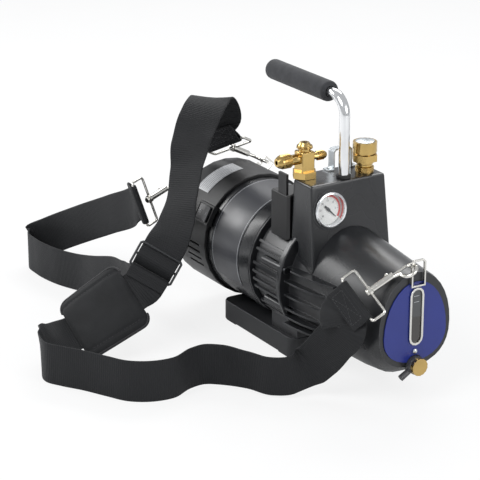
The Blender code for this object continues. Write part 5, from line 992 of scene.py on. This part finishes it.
class PUMP_OT_front(bpy.types.Operator):
    """Finish the blue panel, the sight window and the drain"""
    bl_idname = "pump.front"
    bl_label = "Front panel"

    def execute(self, context):
        skins(front_panel="panel", sight_glass="window", sight_frame="nickel", panel_screw="zinc",
              drain_body="glossy", drain_cap="brass")
        marks = []
        for name, height in (("level_mark_high", 0.1285), ("level_mark_low", 0.1215)):
            mark = block(name, (0.00012, 0.0072, 0.0005), (GLASS_FRONT, 0, height))
            marks.append(modified(mark, "edges", "BEVEL", width=0.00004, segments=1))
        dress(joined("level_marks", marks), "pale_ink", "pump")
        return {"FINISHED"}


class PUMP_OT_gauge(bpy.types.Operator):
    """Finish the vacuum gauge with its printed scale"""
    bl_idname = "pump.gauge"
    bl_label = "Gauge"

    def execute(self, context):
        skins(gauge_case="chrome", gauge_dial="dial", gauge_pointer="dark_ink", gauge_lens="lens")
        self.band("dial_red_band", 0.0147, 0.0174, -110.0, 128.0, "red_ink")
        self.band("dial_green_band", 0.0152, 0.0174, -133.0, -114.0, "green_ink")
        ticks = []
        for k in range(31):
            clock = DIAL_ZERO - DIAL_STEP * k
            inner, width = (0.0122, 1.6) if k % 5 == 0 else (0.0133, 0.9)
            ticks.append(self.band(f"tick_{k}", inner, DIAL_TICK_TIP, clock - width / 2, clock + width / 2,
                                   "dark_ink"))
        joined("dial_ticks", ticks)
        joined("dial_numbers", [self.number(value) for value in range(0, 31, 5)])
        return {"FINISHED"}

    def band(self, name, inner, outer, start, end, finish_name):
        """Printed sector of the dial between two clock angles."""
        low, high = 0.00002, 0.00012
        corners = [(*clock_point(start, r), z) for r, z in ((inner, low), (outer, low), (outer, high), (inner, high))]
        piece = spun(name, corners, start - end, max(1, round((end - start) / 4.0)))
        return dress(put(piece, dial_matrix()), finish_name, "pump")

    def number(self, value):
        bpy.ops.object.text_add()
        text = bpy.context.active_object
        text.data.body = str(value)
        text.data.size = 0.0031
        text.data.extrude = 0.00004
        text.data.align_x = text.data.align_y = "CENTER"
        pick(text)
        bpy.ops.object.convert(target="MESH")
        piece = bpy.context.active_object
        piece.name = f"dial_number_{value}"
        merge_doubles(piece, 0.000001)
        spot = Matrix.Translation((*clock_point(DIAL_ZERO - DIAL_STEP * value, DIAL_NUMBER_R), 0.00008))
        return dress(put(piece, dial_matrix() @ spot), "dark_ink", "pump")


class PUMP_OT_fittings(bpy.types.Operator):
    """Finish the brass fittings and cut their threads"""
    bl_idname = "pump.fittings"
    bl_label = "Brass fittings"

    def execute(self, context):
        skins(intake_manifold="brass", ballast_body="brass", ballast_cap="brass")
        flip = Matrix.Rotation(math.radians(90), 4, "X")
        intake = [((INTAKE.x, -0.0590 - 0.0014 * k, INTAKE.z), flip, 0.0080) for k in range(8)]
        intake += [((INTAKE.x, -0.0205 + 0.0012 * k, INTAKE.z), flip, 0.0052) for k in range(7)]
        intake += [((INTAKE.x, INTAKE.y, 0.2614 + 0.0013 * k), Matrix(), 0.0090 - 0.0001 * k * k) for k in range(3)]
        self.thread("intake_threads", intake)
        neck = [((BALLAST.x, BALLAST.y, 0.2274 + 0.0014 * k), Matrix(), 0.0105) for k in range(5)]
        self.thread("ballast_threads", neck)
        self.cap_disc()
        return {"FINISHED"}

    def thread(self, name, places):
        """Thread crests as separate rings, each turned at its own radius."""
        crests = []
        for k, (spot, turn, radius) in enumerate(places):
            root, tip = radius - 0.0003, radius + 0.00048
            corners = [(root, 0, -0.00052), (tip, 0, -0.00008), (tip, 0, 0.00008), (root, 0, 0.00052)]
            crests.append(put(spun(f"{name}_{k}", corners, 360.0, 32), Matrix.Translation(spot) @ turn))
        dress(joined(name, crests), "brass", "pump")

    def cap_disc(self):
        """Plain metal disc let into the ballast cap, with a coin slot."""
        bpy.ops.mesh.primitive_cylinder_add(vertices=32, radius=0.0112, depth=0.0006,
                                            location=(BALLAST.x, BALLAST.y, CAP_TOP + 0.0003))
        disc = settle(bpy.context.active_object)
        disc.name = "ballast_disc"
        modified(disc, "rim", "BEVEL", width=0.00025, segments=2, limit_method="ANGLE")
        cut(disc, block("slot", (0.0110, 0.0016, 0.0006), (BALLAST.x, BALLAST.y, CAP_TOP + 0.0006)))
        dress(smooth(disc, 35.0), "zinc", "ballast")


class PUMP_OT_handle(bpy.types.Operator):
    """Finish the carrying handle and the bracket behind it"""
    bl_idname = "pump.handle"
    bl_label = "Handle"

    def execute(self, context):
        skin("handle_rod", "polished", 60.0)
        skin("handle_grip", "foam", 50.0)
        skins(handle_collar="rubber", top_bracket="zinc")
        return {"FINISHED"}


class PUMP_OT_hooks(bpy.types.Operator):
    """Finish the strap eyes, rings, snap hooks and the slider"""
    bl_idname = "pump.hooks"
    bl_label = "Hooks and rings"

    def execute(self, context):
        skins(front_strap_eye="nickel", far_strap_eye="nickel", near_strap_eye="nickel")
        for key in RING_BARS:
            skin("hook_ring_" + key, "nickel", 65.0)
            skin("hook_body_" + key, "nickel", 65.0)
            skin("hook_bolt_" + key, "nickel", 50.0)
        skin("slider", "slider", 65.0)
        return {"FINISHED"}


class PUMP_OT_straps(bpy.types.Operator):
    """Weave the two straps and sew their ends at the hook rings"""
    bl_idname = "pump.straps"
    bl_label = "Webbing"

    def execute(self, context):
        sizes = context.scene.pump_sizes
        width, thick = sizes.web_width, sizes.web_thick
        straps = {
            "rear": (rear_stations(), ["hook_ring_far", "hook_ring_near", "slider"]),
            "front": (front_stations(), ["hook_ring_front", "slider"]),
        }
        for key, (stations, held_by) in straps.items():
            rows = strap_rows(stations)
            length = rows[-1][3]
            strap = webbing("webbing_" + key, rows, width, thick)
            dress(strap, "webbing", "pump")
            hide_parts("strap_" + key)
            sewn = seam_box(rows, SEAM_NEAR, SEAM_FAR, width, thick)
            if key == "rear":
                sewn += seam_box(rows, length - SEAM_FAR, length - SEAM_NEAR, width, thick)
            thread = stitches("stitching_" + key, sewn, sizes)
            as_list(held_by)
        return {"FINISHED"}


class PUMP_OT_pad(bpy.types.Operator):
    """Sew the shoulder pad round the webbing"""
    bl_idname = "pump.pad"
    bl_label = "Shoulder pad"

    def execute(self, context):
        sizes = context.scene.pump_sizes
        half, rise = sizes.pad_width / 2, sizes.pad_thick / 2
        pad = dress(smooth(self.body(half, rise), 60.0), "pad", "pump")
        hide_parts("shoulder_pad")
        for name, side in (("pad_binding_near", -1), ("pad_binding_far", 1)):
            dress(smooth(self.binding(name, side, half), 60.0), "tape", "pump")
        self.seams(half, rise, sizes)
        return {"FINISHED"}

    def lift(self, x, share, half, rise):
        """Height of the pad's face over its middle plane: crowned, with a sewn channel along its edges."""
        distance = min(share, 1.0 - share) * PAD_LENGTH
        near_end = min(1.0, distance / 0.014)
        full = 0.0034 + (rise - 0.0034) * (1.0 - (1.0 - near_end) ** 2)
        reach = min(1.0, abs(x) / pad_half(distance, half))
        height = 0.0012 + (full - 0.0012) * (1.0 - reach ** 3.4) ** 0.6
        height -= 0.0014 * math.exp(-((abs(x) - half + PAD_CHANNEL) / PAD_CHANNEL_WIDE) ** 2)
        height -= 0.0011 * math.exp(-((distance - PAD_CHANNEL) / PAD_CHANNEL_WIDE) ** 2)
        return max(height, 0.0024 if abs(x) < 0.028 else 0.0008)

    def body(self, half, rise):
        """Cushion with small waves, open through its length for the webbing."""
        shares = [0.0, 0.006, 0.02, 0.045, 0.075, 0.11] + [0.15 + 0.70 * k / 26 for k in range(27)]
        shares += [0.89, 0.925, 0.955, 0.98, 0.994, 1.0]
        columns = [math.sin(math.pi / 2 * (-1 + 2 * k / 40)) for k in range(41)]
        outer, inner = [], []
        for share in shares:
            place, across, out, _ = pad_axes(share)
            wide = pad_half(min(share, 1.0 - share) * PAD_LENGTH, half)
            top, slot = [], []
            for column in columns:
                x = column * wide
                fold = noise.noise(Vector((x * 40, share * 5, 0.3)))
                fold += 0.5 * noise.noise(Vector((x * 90, share * 9, 4.0)))
                ripple = 0.0009 * fold * (1 - abs(column) ** 4) * min(1.0, 8 * share, 8 * (1 - share))
                top.append((x, self.lift(x, share, half, rise), ripple))
                slot.append(max(-PAD_SLOT_HALF, min(PAD_SLOT_HALF, x)))
            outer.append([place + across * x + out * (z + r) for x, z, r in top]
                         + [place + across * x - out * (z - r) for x, z, r in reversed(top)])
            inner.append([place + across * x + out * PAD_SLOT_RISE for x in slot]
                         + [place + across * x - out * PAD_SLOT_RISE for x in reversed(slot)])
        rows, last = len(outer), 2 * len(columns) - 1

        def texture(row, column):
            row = row if row < rows else 2 * rows - 1 - row
            column = min(column, last - column)
            return columns[column] * half, shares[row] * PAD_LENGTH

        return cloth_mesh("pad_body", outer + inner[::-1], texture, hollow=True)

    def outline(self, side, half):
        """Points down one long edge of the pad with its two rounded corners."""
        turns = [math.pi / 2 * k / 8 for k in range(9)]
        inset = half - PAD_CORNER
        points = [(PAD_CORNER - PAD_CORNER * math.cos(a), inset + PAD_CORNER * math.sin(a)) for a in turns]
        points += [(PAD_CORNER + (PAD_LENGTH - 2 * PAD_CORNER) * k / 10, half) for k in range(1, 10)]
        points += [(PAD_LENGTH - PAD_CORNER + PAD_CORNER * math.cos(a), inset + PAD_CORNER * math.sin(a))
                   for a in reversed(turns)]
        return [(distance, side * x) for distance, x in points]

    def binding(self, name, side, half):
        """Tape folded over one long edge."""
        path = self.outline(side, half)
        rings = []
        for i, (distance, x) in enumerate(path):
            place, across, out, ahead = pad_axes(distance / PAD_LENGTH)
            before, after = path[max(i - 1, 0)], path[min(i + 1, len(path) - 1)]
            along = (after[0] - before[0], after[1] - before[1])
            size = math.hypot(*along)
            outward = across * (along[0] / size * side) - ahead * (along[1] / size * side)
            angles = [2 * math.pi * k / 10 for k in range(10)]
            rings.append([place + across * x + outward * (0.0002 + 0.0017 * math.cos(angle))
                          + out * (0.0024 * math.sin(angle)) for angle in angles])
        return cloth_mesh(name, rings, lambda row, column: (0.0012 * column, path[row][0] + abs(path[row][1])))

    def seams(self, half, rise, sizes):
        """Lockstitch along both long edges on both faces."""
        places = []
        line, sewn = half - PAD_CHANNEL, PAD_LENGTH - 0.020
        count = int(sewn / (sizes.stitch * 1.35))
        for k in range(count):
            share = (0.010 + sewn * (k + 0.5) / count) / PAD_LENGTH
            place, across, out, ahead = pad_axes(share)
            for side in (-1, 1):
                height = self.lift(side * line, share, half, rise)
                for face in (-1, 1):
                    places.append((place + across * (side * line) + out * (face * height), ahead, out * face))
        stitches("pad_stitching", places, sizes)


class PUMP_OT_stage(bpy.types.Operator):
    """Set the pale floor, the soft lamps and the camera"""
    bl_idname = "pump.stage"
    bl_label = "Studio"

    def execute(self, context):
        scene = context.scene
        scene.view_settings.view_transform = "Standard"
        self.floor()
        self.world(scene)
        for name, spot, aim, size, power in LAMPS:
            bpy.ops.object.light_add(type="AREA", location=spot)
            lamp = bpy.context.active_object
            lamp.name = name
            lamp.data.shape = "RECTANGLE"
            lamp.data.size, lamp.data.size_y = size
            lamp.data.energy = power
            lamp.rotation_euler = (Vector(aim) - Vector(spot)).to_track_quat("-Z", "Y").to_euler()
        self.camera(scene)
        return {"FINISHED"}

    def floor(self):
        """Pale paper that also glows a little to the camera, so that it runs out to white."""
        bpy.ops.mesh.primitive_plane_add(size=9.0, location=(0.0, 0.0, -0.0002))
        floor = settle(bpy.context.active_object)
        floor.name = "studio_floor"
        mat, tree, shader = material("pale_paper_floor")
        set_shader(tree, shader, Base_Color=mottled(tree, clouds(tree, 0.05)[1], linear("#F1F1F1"), 1.01, 0.99),
                   Roughness=0.9)
        path = add_node(tree, "ShaderNodeLightPath")
        white = add_node(tree, "ShaderNodeEmission", inputs={"Color": (1, 1, 1, 1), "Strength": 1.0})
        seen = sums(tree, "MULTIPLY", path.outputs["Is Camera Ray"], 0.80)
        mix = add_node(tree, "ShaderNodeMixShader", inputs={0: seen, 1: shader.outputs[0], 2: white.outputs[0]})
        output = next(node for node in tree.nodes if node.bl_idname == "ShaderNodeOutputMaterial")
        tree.links.new(mix.outputs[0], output.inputs["Surface"])
        floor.data.materials.append(mat)

    def world(self, scene):
        """White to the camera, a share of it in reflections, and a soft light on all else."""
        scene.world = bpy.data.worlds.new("studio_world")
        scene.world.use_nodes = True
        tree = scene.world.node_tree
        tree.nodes.clear()
        path = add_node(tree, "ShaderNodeLightPath")
        seen = sums(tree, "ADD", path.outputs["Is Camera Ray"], path.outputs["Is Transmission Ray"], clamp=True)
        shown = sums(tree, "MAXIMUM", seen, sums(tree, "MULTIPLY", path.outputs["Is Glossy Ray"], 0.34))
        soft = add_node(tree, "ShaderNodeBackground", inputs={"Color": (0.92, 0.95, 1.0, 1), "Strength": 0.40})
        white = add_node(tree, "ShaderNodeBackground", inputs={"Color": (1, 1, 1, 1), "Strength": 1.0})
        mix = add_node(tree, "ShaderNodeMixShader", inputs={0: shown, 1: soft.outputs[0], 2: white.outputs[0]})
        add_node(tree, "ShaderNodeOutputWorld", inputs={"Surface": mix.outputs[0]})

    def camera(self, scene):
        azimuth, drop = math.radians(CAMERA_AZIMUTH), math.radians(CAMERA_DROP)
        ahead = Vector((-math.sin(azimuth) * math.cos(drop), math.cos(azimuth) * math.cos(drop), -math.sin(drop)))
        bpy.ops.object.camera_add(location=CAMERA_AT, rotation=ahead.to_track_quat("-Z", "Y").to_euler())
        camera = bpy.context.active_object
        camera.name = "studio_camera"
        camera.data.lens = 146.4
        camera.data.sensor_width = 36.0
        camera.data.clip_end = 50.0
        scene.camera = camera


OPERATORS = (PUMP_OT_castings, PUMP_OT_motor, PUMP_OT_inside, PUMP_OT_front, PUMP_OT_gauge, PUMP_OT_fittings,
             PUMP_OT_handle, PUMP_OT_hooks, PUMP_OT_straps, PUMP_OT_pad, PUMP_OT_stage)


class PUMP_PT_panel(bpy.types.Panel):
    """Sizes, colours and steps of the vacuum pump"""
    bl_idname = "PUMP_PT_panel"
    bl_label = "Vacuum pump"
    bl_space_type = "VIEW_3D"
    bl_region_type = "UI"
    bl_category = "Pump"

    def draw(self, context):
        column = self.layout.column()
        for group in (context.scene.pump_sizes, context.scene.pump_colours):
            for name in group.bl_rna.properties.keys():
                if name not in ("rna_type", "name"):
                    column.prop(group, name)
        for operator in OPERATORS:
            column.operator(operator.bl_idname)


CLASSES = (PumpColours, PumpSizes, *OPERATORS, PUMP_PT_panel)


def register():
    for cls in CLASSES:
        bpy.utils.register_class(cls)
    bpy.types.Scene.pump_colours = bpy.props.PointerProperty(type=PumpColours)
    bpy.types.Scene.pump_sizes = bpy.props.PointerProperty(type=PumpSizes)


def unregister():
    del bpy.types.Scene.pump_sizes
    del bpy.types.Scene.pump_colours
    for cls in reversed(CLASSES):
        bpy.utils.unregister_class(cls)


def main():
    register()
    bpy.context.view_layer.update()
    bpy.ops.pump.castings()
    bpy.ops.pump.motor()
    bpy.ops.pump.inside()
    bpy.ops.pump.front()
    bpy.ops.pump.gauge()
    bpy.ops.pump.fittings()
    bpy.ops.pump.handle()
    bpy.ops.pump.hooks()
    bpy.ops.pump.straps()
    bpy.ops.pump.pad()
    bpy.ops.pump.stage()


if __name__ == "__main__":
    main()
